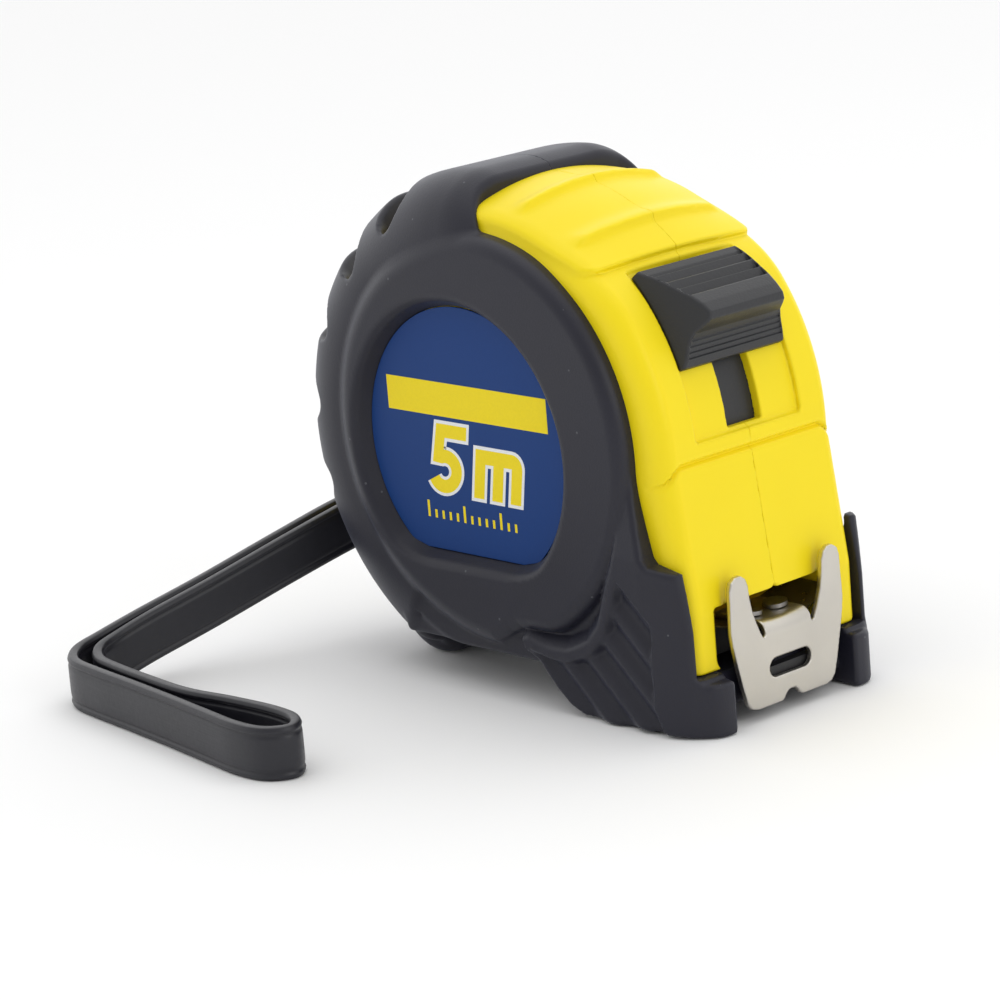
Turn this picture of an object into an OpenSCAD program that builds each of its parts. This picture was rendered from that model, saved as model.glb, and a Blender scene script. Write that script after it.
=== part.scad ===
// Pocket tape measure: a steel tape wound on a sprung drum, in a two-part case
// with a soft grip, a sliding lock, an end hook and a wrist strap.
// +X points out of the mouth, +Y to the right of someone holding it, +Z up.
// Z = 0 is the surface that the feet stand on.

/* [Tape] */
// Width of the steel tape
tape_w = 25; // [20:0.5:32]
// Thickness of the steel tape with its paint
tape_t = 0.25; // [0.15:0.05:0.4]
// Radius of the curve that stiffens the tape across its width
tape_curve_r = 32; // [24:1:40]
// Outer radius of the wound tape
coil_r = 25; // [20:0.5:31]
// How far the modelled stretch of tape pulls out
pull_travel = 30; // [10:1:30]

/* [Drum] */
// Outer radius of the drum that the tape is wound on
drum_r = 17; // [12:0.5:18]
// Wall of the drum
drum_wall = 1.2; // [0.8:0.1:2]
// Radius of the fixed centre post
post_r = 3; // [2:0.1:4]
// Number of turns drawn in the mainspring
spring_turns = 7; // [3:1:9]

/* [Case] */
// Thickness of the moulded case wall
case_wall = 2.4; // [1.6:0.1:3]
// Thickness of the case's side faces
side_wall = 3.5; // [2.5:0.1:5]
// Depth of the strip that the front face needs ahead of the wound tape
front_room = 10; // [9:0.5:13]
// How far the mouth stands ahead of the curved front
nose_lead = 2.9; // [1:0.1:5]
// Height of the mouth's top edge
mouth_top = 18.3; // [17.5:0.1:20]
// Height of the case's underside
belly_z = 7.5; // [6.5:0.1:8]
// Rise of the thumb pad above the front face
pad_step = 0.9; // [0.4:0.1:1.5]

/* [Grip] */
// Thickness of the soft grip round the back
grip_t = 4.2; // [3:0.1:6]
// Thickness of the soft grip on the sides
grip_side = 4.4; // [3:0.1:6]
// Radius of the label window
window_r = 21.4; // [16:0.1:23]
// Depth of the finger grooves
scallop_depth = 2.2; // [1:0.1:3]

/* [Lock] */
// Half width of the lock button
button_half_w = 9.8; // [7:0.1:11]
// Angle that the lock slides through, in degrees
lock_angle = 13; // [5:1:14]
// Thickness of the brake strip
strip_t = 1; // [0.6:0.1:1.4]

/* [Hook] */
// Thickness of the steel end hook
hook_t = 1; // [0.6:0.1:1.3]
// Free play of the hook, equal to its thickness so that inside measures are true
hook_play = 1; // [0.5:0.1:1.3]
// Half width of the hook at its waist
hook_half_w = 11.9; // [9:0.1:12]

/* [Strap] */
// Width of the wrist strap
strap_w = 8; // [6:0.5:8.5]
// Thickness of the wrist strap
strap_t = 1.8; // [1:0.1:2]

/* [Hidden] */
$fn = 72;

eps = 0.02;                             // overlap of cutting tools past a face
slide_gap = 0.1;                        // gap between flat faces that slide
run_gap = 0.05;                         // radial clearance of the drum on its post

// Places, all worked out from the sizes above
tape_z = 13;                            // underside of the tape at its middle
hub_x = -3.3;                           // axis of the drum
hub_z = tape_z + 0.6 + coil_r;
cavity_r = coil_r + 2.5;
cavity_half = tape_w / 2 + 0.8;
case_half = cavity_half + side_wall;    // half width of the case
ring_wall = 2;                          // wall round the wound tape
back_r = cavity_r + ring_wall + 7.3;    // back of the hard case, from the drum axis
face_x = hub_x + 3.6;                   // centre of the curved front face
face_z = hub_z + 0.6;
face_r = cavity_r + front_room;
pad_r = face_r + pad_step;
nose_x = face_x + face_r + nose_lead;
toe_x = nose_x + 3.6;
grip_r = back_r + grip_t;
grip_half = case_half + grip_side;
mouth_half = tape_w / 2 + 0.4;
mouth_floor = 9;
edge = 3.2;                             // chamfer of the case's long edges
grip_edge = 3;                          // chamfer of the boss round the label
back_edge = [13, 7];                    // how far the back's rounding comes in, and down the side

// The lock slides on an arc round the centre of the front face
recess_depth = 0.8;
recess_r = face_r - recess_depth;
recess_half = button_half_w + 0.2;
recess_low = 4.7;                       // angle of the recess's lower edge
recess_high = 47;
button_low = 20.8;                      // angles that the button covers at rest
button_high = 45.5;
button_rise = 6.6;
slot_half = 2.9;
strip_out = recess_r - 1.5;
strip_in = strip_out - strip_t;
strip_half = 4;
strip_gap = 0.3;
pad_tip = 1.4;                          // angle that the rubber brake pad covers
tip_z = tape_z + tape_t + 0.75;         // lowest point of the pad when locked
tip_angle = asin((face_z - tip_z) / strip_out) - lock_angle;

// The hook hangs just ahead of the mouth
hook_x = nose_x + 1.3;                  // back face of the hook plate
hook_low = 1.9;
tab_half = 5;
tab_len = 10.5;
rivet_x = hook_x - 4.2;
rivet_r = 1;
rivet_head_r = 1.9;
rivet_y = 2.9;
curve_z = tape_z + tape_curve_r + tape_t;  // centre of the tape's cross curve
blade_end = hook_x - 1.2;
edge_gap = 0.357;                       // gap between the tape's raised edges and the wound tape
edge_z = curve_z - sqrt(pow(tape_curve_r, 2) - pow(tape_w / 2, 2));
blade_start = hub_x + sqrt(pow(coil_r, 2) - pow(hub_z - edge_z - edge_gap, 2));

screw_r = 1.2;
screw_head_r = 2.4;
screw_post_r = 3.2;
screw_ring = cavity_r + ring_wall + 2.9;
screw_places = [[hub_x + screw_ring * cos(135), hub_z + screw_ring * sin(135)],
                [hub_x + screw_ring * cos(228), hub_z + screw_ring * sin(228)],
                [hub_x + screw_ring * cos(62), hub_z + screw_ring * sin(62)],
                [nose_x - 5.1, mouth_top + 5.7]];

strap_z = 20;                           // height at which the strap enters the case
pocket_in = -29.6;                      // front end of the strap pocket
pocket_half = 3.2;
pin_x = pocket_in - 2.6;
pin_r = 1.2;

// Centre line of the strap: out along the outer layer, round the fold, back inside
strap_route = [[-30.5, 1.5, 20], [-36, 1.5, 20], [-41.5, 1.1, 19.8], [-45, -2.5, 19.4],
               [-46.6, -9, 18.4], [-49.4, -20, 15], [-53, -33, 10.6], [-56, -44, 7.4],
               [-57.8, -50.5, 5.4], [-57.6, -55.5, 4.4], [-53.5, -59.3, 4.1], [-46, -60.8, 4.1],
               [-36, -62, 4.1], [-24, -63.6, 4.1], [-12, -65.4, 4.1], [-3, -66.6, 4.1],
               [3, -66, 4.1], [5.6, -62.8, 4.1], [2.5, -59.6, 4.1], [-4, -58.6, 4.1],
               [-14, -59, 4.1], [-24, -60, 4.1], [-36, -58.9, 4.1], [-45, -57.7, 4.1],
               [-51, -56.3, 4.1], [-54.4, -53.6, 4.6], [-54.7, -49.5, 5.6], [-53.1, -43.5, 7.6],
               [-50.1, -33, 10.8], [-46.5, -20, 15.2], [-43.7, -9.5, 18.5], [-42.8, -4.9, 19.4],
               [-40.6, -1.8, 19.9], [-36, -1.5, 20], [-30.5, -1.5, 20]];

// ---------------------------------------------------------------- helpers

// Extrudes an XZ outline along Y, from y0 to y1
module across(y0, y1) {
  translate([0, y1, 0]) rotate([90, 0, 0]) linear_extrude(height = y1 - y0) children();
}

// A disc or cylinder on an axis along Y
module y_cylinder(x, z, r, y0, y1) {
  translate([x, y0, z]) rotate([-90, 0, 0]) cylinder(r = r, h = y1 - y0);
}

// A ring about an axis along Y
module y_ring(x, z, r_out, r_in, y0, y1) {
  difference() {
    y_cylinder(x, z, r_out, y0, y1);
    y_cylinder(x, z, r_in, y0 - 1, y1 + 1);
  }
}

// Wedge in XZ between two angles, measured up from +X round a centre
module wedge(x, z, r, a0, a1) {
  steps = 8;
  translate([x, z])
    polygon(concat([[0, 0]], [for (i = [0 : steps]) let (a = a0 + (a1 - a0) * i / steps)
      [r * cos(a), r * sin(a)]]));
}

// Part of a flat ring in XZ between two angles
module arc_band(x, z, r_in, r_out, a0, a1) {
  intersection() {
    difference() {
      translate([x, z]) circle(r = r_out);
      translate([x, z]) circle(r = r_in);
    }
    wedge(x, z, 2 * r_out, a0, a1);
  }
}

// Disc on an axis along Y whose far edge slopes in by cr along its radius over cy of its length
module chamfered_disc(x, z, r, y1, cr, cy) {
  translate([x, 0, z]) rotate([-90, 0, 0])
    rotate_extrude() polygon([[0, 0], [r, 0], [r, y1 - cy], [r - cr, y1], [0, y1]]);
}

// ------------------------------------------------------------------- case

// Side outline of the hard case, drawn i inside its true edge
module case_outline(i = 0) {
  intersection() {
    union() {
      translate([hub_x, hub_z]) circle(r = back_r - i);
      translate([face_x, face_z]) circle(r = face_r - i);
      polygon([[face_x, belly_z], [face_x, face_z], [face_x + face_r - i, face_z],
               [nose_x - i, mouth_top], [nose_x - i, belly_z]]);
    }
    translate([hub_x - 2 * back_r, belly_z + i]) square(4 * back_r);
  }
}

// Outside of the right half, with chamfered long edges and the raised thumb pad
module case_body() {
  across(0, case_half - edge) case_outline();
  intersection() {
    across(case_half - edge - eps, case_half) case_outline();
    union() {
      chamfered_disc(face_x, face_z, face_r, case_half, edge, edge);
      translate([hub_x - back_r, 0, belly_z]) cube([back_r, case_half, 2 * back_r]);
      translate([0, 0, belly_z]) linear_extrude(height = face_z - belly_z)
        polygon([[hub_x, 0], [nose_x, 0], [nose_x, case_half - edge],
                 [nose_x - edge, case_half], [hub_x, case_half]]);
    }
  }
  across(0, case_half - edge) arc_band(face_x, face_z, face_r - 1, pad_r, 50, 92);
  y_cylinder(hub_x, hub_z, window_r + 2, case_half - 1, case_half + label_stand);
}
label_stand = 1.6;                      // the label's seat stands this far off the side

// Hollow inside: the drum's round room, the space round it, and the lock's track
module case_hollow() {
  difference() {
    across(-1, case_half - side_wall) case_outline(case_wall);
    y_cylinder(hub_x, hub_z, cavity_r + ring_wall, -2, case_half);
    for (p = screw_places) y_cylinder(p[0], p[1], screw_post_r, -2, case_half);
    translate([pocket_in - 8, -2, strap_z - 7]) cube([10, 8 + case_half, 14]);
    translate([nose_x - 12, -2, belly_z]) cube([13, case_half + 2, mouth_floor - belly_z + 1.2]);
    translate([nose_x - 9, -2, mouth_top]) cube([10, case_half + 2, 1.6]);
  }
  y_cylinder(hub_x, hub_z, cavity_r, -1, cavity_half);
}

// The tape's way out, the lock's slot and recess, and the transverse grooves
module case_openings() {
  translate([hub_x + 8, -1, mouth_floor])
    cube([nose_x - hub_x, mouth_half + 1, mouth_top - mouth_floor]);
  across(-1, recess_half) arc_band(face_x, face_z, recess_r, pad_r + 2, recess_low, recess_high);
  across(-1, slot_half)
    arc_band(face_x, face_z, strip_in - 3, face_r + 2, recess_low + 0.8, recess_high - 2);
  across(-1, strip_half + slide_gap)
    arc_band(face_x, face_z, strip_in - 0.4, strip_out + 0.2, -60, recess_high + 2);
  across(-1, case_half + 1) arc_band(face_x, face_z, face_r - 0.5, face_r + 3, -0.5, 1.2);
  translate([pocket_in - 20, -1, strap_z - strap_w / 2 - 0.7])
    cube([20, pocket_half + 1, strap_w + 1.4]);
  y_cylinder(pin_x, strap_z, pin_r, -1, pocket_half + 2);
  y_cylinder(hub_x, hub_z, post_r, -1, cavity_half + 1.8);
}

module case_half_shell() {
  difference() {
    case_body();
    case_hollow();
    case_openings();
  }
}

module case_left() {
  color("gold") difference() {
    mirror([0, 1, 0]) case_half_shell();
    for (p = screw_places) y_cylinder(p[0], p[1], screw_r, -8, 1);
  }
}

module case_right() {
  color("gold") difference() {
    case_half_shell();
    for (p = screw_places) {
      y_cylinder(p[0], p[1], screw_r, -1, case_half);
      y_cylinder(p[0], p[1], screw_head_r, cavity_half - 1.6, case_half + 1);
    }
  }
}

// ------------------------------------------------------------------- grip

// Flat D of the label and its window: a circle cut off straight below
module window_outline(i = 0) {
  intersection() {
    translate([hub_x, hub_z]) circle(r = window_r - i);
    translate([hub_x - window_r, hub_z - 0.8 * window_r + i]) square(2 * window_r);
  }
}

// Side outline of the front shoe that carries the toe
module shoe_outline() {
  polygon([[face_x + 15, hub_z - 25], [face_x + 28, mouth_top + 10], [nose_x - 4.2, mouth_top + 8.3],
           [nose_x - 0.4, mouth_top + 6], [nose_x + 0.4, mouth_floor], [toe_x, mouth_floor - 0.6],
           [toe_x, 2], [toe_x - 2, 0], [toe_x - 20, 0], [toe_x - 26.5, 3],
           [toe_x - 33, belly_z + 1]]);
}

foot_half = 10;                         // half width of the back foot

// Outside of the right half of the grip, before the case is taken out of it
module grip_body() {
  // boss round the label, flat below
  intersection() {
    chamfered_disc(hub_x, hub_z, face_r - edge, grip_half, grip_edge, grip_edge);
    translate([hub_x - 50, case_half - eps, belly_z + 1]) cube([100, 20, 100]);
  }
  // back and top band
  intersection() {
    chamfered_disc(hub_x, hub_z, grip_r, grip_half, back_edge[0], back_edge[1]);
    across(0, grip_half) wedge(hub_x, hub_z, 2 * grip_r, 85, 243);
  }
  // floor of the grip, under the case
  translate([hub_x - 17, 0, belly_z - 2.4]) cube([nose_x - hub_x + 16.6, case_half + 1, 2.4 + eps]);
  // web below the mouth
  translate([nose_x - 3, 0, belly_z - 4.5]) cube([2.6, case_half, 6]);
  // back foot
  intersection() {
    y_cylinder(hub_x - 21.5, 8, 8.6, 0, foot_half);
    translate([hub_x - 32, 0, 0]) cube([21, foot_half + 1, 9]);
  }
  // front shoe: side plate, and the toe beside the mouth
  across(case_half - eps, grip_half) shoe_outline();
  intersection() {
    across(mouth_half + 0.6, case_half) shoe_outline();
    translate([nose_x - 16, 0, 0]) cube([30, grip_half, mouth_floor]);
  }
}

module grip_half_shell() {
  difference() {
    grip_body();
    across(-1, case_half) case_outline();
    across(-1, case_half - edge) arc_band(face_x, face_z, face_r - 1, pad_r, 50, 92);
    across(case_half - 1, grip_half + 1) window_outline();
    y_cylinder(hub_x, hub_z, window_r + 2, case_half - 1, case_half + label_stand);
    for (a = [140, 159, 178, 197])
      y_cylinder(hub_x + (grip_r + 5 - scallop_depth) * cos(a),
                 hub_z + (grip_r + 5 - scallop_depth) * sin(a), 5, -1, grip_half + 1);
    translate([pocket_in - 20, -1, strap_z - strap_w / 2 - 0.7])
      cube([20, pocket_half + 1.6, strap_w + 1.4]);
  }
}

module grip_left() {
  color([0.15, 0.15, 0.17]) mirror([0, 1, 0]) grip_half_shell();
}

module grip_right() {
  color([0.15, 0.15, 0.17]) difference() {
    grip_half_shell();
    for (p = screw_places) y_cylinder(p[0], p[1], screw_head_r + 0.4, case_half - 1, grip_half + 1);
  }
}

// ----------------------------------------------------------------- labels

label_t = 0.3;
module label_right() {
  color([0.13, 0.22, 0.45])
    across(case_half + label_stand, case_half + label_stand + label_t) window_outline(0.3);
}

module label_left() {
  mirror([0, 1, 0]) label_right();
}

// -------------------------------------------------------- drum and spring

drum_half = cavity_half - 0.5;          // half length of the drum
plate_t = 1.6;                          // thickness of the drum's two end plates

// Fixed post, slotted to hold the inner end of the mainspring
module center_post() {
  color("silver") difference() {
    y_cylinder(hub_x, hub_z, post_r, -cavity_half - 1.8, cavity_half + 1.8);
    translate([hub_x - spring_t / 2, -spring_half, hub_z - post_r - 1])
      cube([spring_t, 2 * spring_half, post_r + 1 + post_r / 2]);
  }
}

spring_t = 0.4;
spring_half = drum_half - plate_t - 0.6;
spring_in = post_r + 1;
spring_out = drum_r - drum_wall - 0.6;
spring_steps = 14;                      // straight stretches in one turn

// Point on one edge of the spiral, k stretches along it
function spiral(k, off) =
  let (n = spring_turns * spring_steps, a = -90 + 360 * k / spring_steps,
       r = spring_in + (spring_out - spring_in) * k / n + off)
  [hub_x + r * cos(a), hub_z + r * sin(a)];

// Coiled flat spring whose inner end sits in the post's slot
module mainspring() {
  n = spring_turns * spring_steps;
  color("dimgray") across(-spring_half, spring_half) {
    polygon(concat([for (k = [0 : n]) spiral(k, spring_t / 2)],
                   [for (k = [n : -1 : 0]) spiral(k, -spring_t / 2)]));
    translate([hub_x - spring_t / 2, hub_z - spring_in - spring_t / 2])
      square([spring_t, spring_in + spring_t / 2 + post_r / 2]);
  }
}

// Drum with one end plate; it turns on the post
module drum() {
  color("ivory") difference() {
    union() {
      y_ring(hub_x, hub_z, drum_r, drum_r - drum_wall, -drum_half, drum_half - plate_t);
      y_cylinder(hub_x, hub_z, drum_r - drum_wall / 2, -drum_half, -drum_half + plate_t);
    }
    y_cylinder(hub_x, hub_z, post_r + run_gap, -drum_half - 1, drum_half);
  }
}

// Plate that closes the drum's other end
module drum_cover() {
  color("ivory")
    y_ring(hub_x, hub_z, drum_r, post_r + run_gap, drum_half - plate_t, drum_half);
}

// The wound length of tape, drawn as the solid ring that it fills
module wound_tape() {
  color("khaki") y_ring(hub_x, hub_z, coil_r, drum_r, -tape_w / 2, tape_w / 2);
}

// Thin slip discs between the drum and the case
module side_washers() {
  washer_t = 0.3;
  color("white") for (s = [0, 1]) mirror([0, s, 0])
    y_ring(hub_x, hub_z, drum_r - 3, post_r, cavity_half - washer_t, cavity_half);
}

// ---------------------------------------------------------- tape and hook

// Cross section of the curved tape in YZ, between two radii
module curved_section(r_in, r_out, half_w) {
  a = asin(half_w / r_out);
  intersection() {
    difference() {
      circle(r = r_out);
      circle(r = r_in);
    }
    polygon([[0, 0], [2 * r_out * sin(-a), -2 * r_out * cos(a)],
             [2 * r_out * sin(a), -2 * r_out * cos(a)]]);
  }
}

// Runs a curved section along X at the tape's height
module curved_run(x0, x1, r_in, r_out, half_w) {
  translate([x0, 0, curve_z]) rotate([90, 0, 90])
    linear_extrude(height = x1 - x0) curved_section(r_in, r_out, half_w);
}

// Places something on both rivets' axes, which follow the tape's curve
module on_rivets() {
  a = asin(rivet_y / tape_curve_r);
  for (s = [-1, 1]) translate([rivet_x, 0, curve_z]) rotate([s * a, 0, 0]) children();
}

// Straight stretch of tape between the drum and the hook
module tape_blade() {
  color("yellow") difference() {
    curved_run(blade_start, blade_end, tape_curve_r, tape_curve_r + tape_t, tape_w / 2);
    on_rivets() translate([0, 0, -tape_curve_r - 2]) cylinder(r = rivet_r, h = 4);
  }
}

tab_out = 0.1;                          // gap between the tape and the hook's tab
tab_r_out = tape_curve_r - tab_out;
tab_r_in = tab_r_out - hook_t;

// Rivets fixed in the tape; their heads hold the hook's slotted tab
module hook_rivets() {
  head_t = 0.6;
  color("silver") on_rivets() {
    translate([0, 0, -tape_curve_r - tape_t - head_t])
      cylinder(r = rivet_r, h = tape_t + hook_t + tab_out + head_t + 0.3);
    translate([0, 0, -tape_curve_r - tape_t - head_t]) cylinder(r = rivet_head_r, h = head_t - 0.1);
    translate([0, 0, -tab_r_in + 0.2]) cylinder(r = rivet_head_r, h = head_t);
  }
}

// Front outline of the hook in YZ
module hook_outline() {
  prong_y = 9.8;
  prong_z = hook_low + 20.8;
  prong_r = 1.9;
  v_y = tab_half + 0.3;
  v_z = hook_low + 10.6;
  difference() {
    union() {
      polygon([[-8.1, hook_low], [8.1, hook_low], [10, hook_low + 2.4],
               [hook_half_w, v_z + 1.3], [prong_y + prong_r, prong_z], [prong_y - prong_r, prong_z],
               [v_y + 1.6, v_z + 3.4], [v_y, v_z], [tab_half, tape_z + 1.2], [-tab_half, tape_z + 1.2],
               [-v_y, v_z], [-v_y - 1.6, v_z + 3.4], [-prong_y + prong_r, prong_z],
               [-prong_y - prong_r, prong_z], [-hook_half_w, v_z + 1.3], [-10, hook_low + 2.4]]);
      for (s = [-1, 1]) translate([s * prong_y, prong_z]) circle(r = prong_r);
    }
    // nail slot and the scribing notch
    square_slot = [6, 2.9];
    translate([-square_slot[0] / 2, hook_low + 4]) square(square_slot);
    for (s = [-1, 1])
      translate([s * square_slot[0] / 2, hook_low + 4 + square_slot[1] / 2])
        circle(r = square_slot[1] / 2);
    translate([0, hook_low + 0.6]) circle(r = 1.2);
    translate([-2.2, hook_low - 1]) square([4.4, 1.5]);
  }
}

// Steel hook: a plate with two prongs and a curved tab that slides on the rivets
module end_hook() {
  color("silver") {
    translate([hook_x, 0, 0]) rotate([90, 0, 90]) linear_extrude(height = hook_t) hook_outline();
    difference() {
      curved_run(hook_x - tab_len, hook_x + eps, tab_r_in, tab_r_out, tab_half);
      on_rivets() translate([0, 0, -tape_curve_r - 1]) {
        cylinder(r = rivet_r + slide_gap, h = 4);
        translate([-hook_play, 0, 0]) cylinder(r = rivet_r + slide_gap, h = 4);
        translate([-hook_play, -rivet_r - slide_gap, 0])
          cube([hook_play, 2 * (rivet_r + slide_gap), 4]);
      }
    }
  }
}

// Rubber pad that the hook lands on when the tape runs in
module mouth_bumper() {
  web_face = nose_x - 0.4;
  color("black") translate([web_face, -7, belly_z - 4.1]) cube([hook_x - 0.2 - web_face, 14, 3.8]);
}

// Saddle in the floor of the mouth that the tape slides over
module blade_guide() {
  guide_len = 12.2;
  color("dimgray") translate([rivet_x - 2.9 - guide_len, 0, 0]) rotate([90, 0, 90])
    linear_extrude(height = guide_len) difference() {
      translate([-mouth_half, mouth_floor]) square([2 * mouth_half, tape_z - mouth_floor + 1.4]);
      translate([0, curve_z]) circle(r = tape_curve_r + tape_t + 0.3);
    }
}

// ------------------------------------------------------------------- lock

// Point at a radius and an angle round the centre of the front face
function polar(r, a) = [face_x + r * cos(a), face_z + r * sin(a)];

// Thumb button: a wedge with grip steps on both faces
module lock_button() {
  steps = 4;
  apex = 30;                            // angle of the nose
  foot_r = recess_r + slide_gap;
  color([0.1, 0.1, 0.11]) difference() {
    across(-button_half_w, button_half_w)
      polygon(concat(
        [polar(foot_r - 1, button_low), polar(foot_r + 1.2, button_low)],
        [for (i = [1 : steps]) polar(foot_r + 1.2 + (button_rise - 2.6) * i / steps,
                                     button_low + (apex - 3 - button_low) * i / steps)],
        [polar(foot_r + button_rise, apex - 2), polar(foot_r + button_rise, apex + 1)],
        [for (i = [0 : steps - 1], j = [0, 1])
          polar(foot_r + button_rise - 0.9 - (button_rise - 2.2) * i / steps,
                apex + 2.4 + (button_high - apex - 3.6) * (i + j) / steps)],
        [polar(foot_r + 1, button_high), polar(foot_r - 1, button_high)]));
    y_cylinder(face_x, face_z, foot_r, -button_half_w - 1, button_half_w + 1);
    across(-neck_half, neck_half) arc_band(face_x, face_z, foot_r - 1, neck_out, neck_low, neck_high);
  }
}
neck_half = slot_half - 0.2;
neck_out = recess_r + 1.6;
neck_low = button_low + 4;
neck_high = button_high - 4;

// Curved strip behind the front wall, with the neck that carries the button
module brake_strip() {
  color([0.1, 0.1, 0.11]) {
    across(-strip_half, strip_half)
      arc_band(face_x, face_z, strip_in, strip_out, -tip_angle + pad_tip, button_high - 1);
    across(-neck_half, neck_half)
      arc_band(face_x, face_z, strip_out - eps, neck_out, neck_low, neck_high);
  }
}

// Rubber shoe on the strip's end that presses on the tape
module brake_pad() {
  color("black") across(-strip_half, strip_half)
    arc_band(face_x, face_z, strip_in, strip_out, -tip_angle, -tip_angle + pad_tip);
}

// --------------------------------------------------------------- fastenings

// Self-tapping screws from the right side
module case_screws() {
  head_t = 1.8;
  color("silver") for (p = screw_places) {
    y_cylinder(p[0], p[1], screw_r, -8, cavity_half - 1.6);
    difference() {
      y_cylinder(p[0], p[1], screw_head_r - 0.2, cavity_half - 1.6, cavity_half - 1.6 + head_t);
      for (a = [0, 90]) translate([p[0], cavity_half - 1.6 + head_t, p[1]]) rotate([0, a, 0])
        cube([2.6, 1.6, 0.6], center = true);
    }
  }
}

module strap_pin() {
  color("silver") y_cylinder(pin_x, strap_z, pin_r, -pocket_half - 2, pocket_half + 2);
}

// ------------------------------------------------------------------ strap

// Smooth curve through the route's points, as a Catmull-Rom spline
function spline(p0, p1, p2, p3, t) =
  0.5 * (2 * p1 + (p2 - p0) * t + (2 * p0 - 5 * p1 + 4 * p2 - p3) * t * t
         + (3 * p1 - p0 - 3 * p2 + p3) * t * t * t);
function route_point(i) = strap_route[max(0, min(len(strap_route) - 1, i))];
function along(i, t) =
  spline(route_point(i - 1), route_point(i), route_point(i + 1), route_point(i + 2), t);
strap_rings = concat([for (i = [0 : len(strap_route) - 2], t = [0, 0.5]) along(i, t)],
                     [route_point(len(strap_route) - 1)]);

// Direction across the strap's thickness at ring k, level and square to the route
function ring_side(k) =
  let (d = strap_rings[min(k + 1, len(strap_rings) - 1)] - strap_rings[max(k - 1, 0)],
       n = norm([d[0], d[1]]))
  [-d[1] / n, d[0] / n, 0];

// Eight-sided section: a flat band on edge with eased corners
strap_section = let (t = strap_t / 2, w = strap_w / 2, c = 0.5)
  [[t, -w + c], [t, w - c], [t - c, w], [-t + c, w], [-t, w - c], [-t, -w + c], [-t + c, -w],
   [t - c, -w]];

module wrist_strap() {
  sides = len(strap_section);
  rings = len(strap_rings);
  color([0.16, 0.17, 0.2]) polyhedron(
    points = [for (k = [0 : rings - 1], s = strap_section)
      strap_rings[k] + ring_side(k) * s[0] + [0, 0, s[1]]],
    faces = concat(
      [[for (j = [0 : sides - 1]) j]],
      [for (k = [0 : rings - 2], j = [0 : sides - 1])
        [k * sides + j, (k + 1) * sides + j, (k + 1) * sides + (j + 1) % sides,
         k * sides + (j + 1) % sides]],
      [[for (j = [sides - 1 : -1 : 0]) (rings - 1) * sides + j]]));
}

case_left();
case_right();
grip_left();
grip_right();
label_left();
label_right();
center_post();
mainspring();
drum();
drum_cover();
wound_tape();
side_washers();
tape_blade();
hook_rivets();
end_hook();
mouth_bumper();
blade_guide();
lock_button();
brake_strip();
brake_pad();
case_screws();
strap_pin();
wrist_strap();
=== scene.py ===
"""Looks of a pocket tape measure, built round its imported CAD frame.

The case, the grip, the lock button and the end hook are solids given by distance functions, worked out on a
numpy grid and turned into closed quad meshes, because their openings cut through crowned and rounded
faces that no single two-parameter sheet can follow. The strap is a section carried along a path, and the
label and its print are flat outlines given a small thickness. Lengths inside the classes are in millimetres.
"""
import logging
import math
from dataclasses import dataclass, field
from enum import Enum
from typing import Callable, Sequence

import bpy
import numpy as np
from mathutils import Matrix, Vector

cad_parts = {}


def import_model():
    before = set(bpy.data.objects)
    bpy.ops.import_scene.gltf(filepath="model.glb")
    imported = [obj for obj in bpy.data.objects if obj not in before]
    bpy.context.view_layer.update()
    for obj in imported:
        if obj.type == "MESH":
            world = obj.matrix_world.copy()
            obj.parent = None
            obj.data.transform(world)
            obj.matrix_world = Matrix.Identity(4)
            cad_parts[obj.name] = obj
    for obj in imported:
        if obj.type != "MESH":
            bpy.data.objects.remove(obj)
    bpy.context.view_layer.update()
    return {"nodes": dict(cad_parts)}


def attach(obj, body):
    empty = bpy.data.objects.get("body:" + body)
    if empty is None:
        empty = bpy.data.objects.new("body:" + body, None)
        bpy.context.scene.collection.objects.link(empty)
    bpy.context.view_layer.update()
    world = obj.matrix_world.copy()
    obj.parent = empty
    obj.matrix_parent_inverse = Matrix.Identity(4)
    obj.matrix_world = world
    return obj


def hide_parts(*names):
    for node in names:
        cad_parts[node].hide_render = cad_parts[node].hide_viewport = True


LOG = logging.getLogger("tape_measure")
MM = 0.001
Array = np.ndarray
Triple = tuple[float, float, float]
Corners = tuple[tuple[float, float], ...]
Axes = tuple[Array, Array, Array]
Field = Callable[[Array, Array, Array], Array]


class Body(Enum):
    """The bodies that new pieces ride on."""

    CASE = "case"
    HOOK = "hook"
    LOCK = "lock"


class Slot(Enum):
    """The record's material slots."""

    YELLOW = "yellow_abs"
    GRIP = "soft_grip"
    LABEL = "printed_label"
    HOOK = "hook_steel"
    BLACK = "black_plastic"
    STRAP = "strap_vinyl"


# ------------------------------------------------------------------ shape maths


def ease(low: float, high: float, value: Array) -> Array:
    """Smooth step: with t the share of the way from low to high, held in 0..1, t * t * (3 - 2 * t)."""
    t = np.clip((value - low) / (high - low), 0.0, 1.0)
    return t * t * (3.0 - 2.0 * t)


def meet(a: Array, b: Array, radius: float) -> Array:
    """What two solids share, edge rounded: min(max(a, b), -r) + length(max(a + r, 0), max(b + r, 0))."""
    outside = np.hypot(np.maximum(a + radius, 0), np.maximum(b + radius, 0))
    return np.minimum(np.maximum(a, b), -radius) + outside


def join(a: Array, b: Array, radius: float) -> Array:
    """Two solids together with a fillet between them, which is meet() of the space round them, negated."""
    return -meet(-a, -b, radius)


def cut(a: Array, b: Array, radius: float) -> Array:
    """Solid a without solid b, with the rim of the cut rounded."""
    return meet(a, -b, radius)


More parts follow.
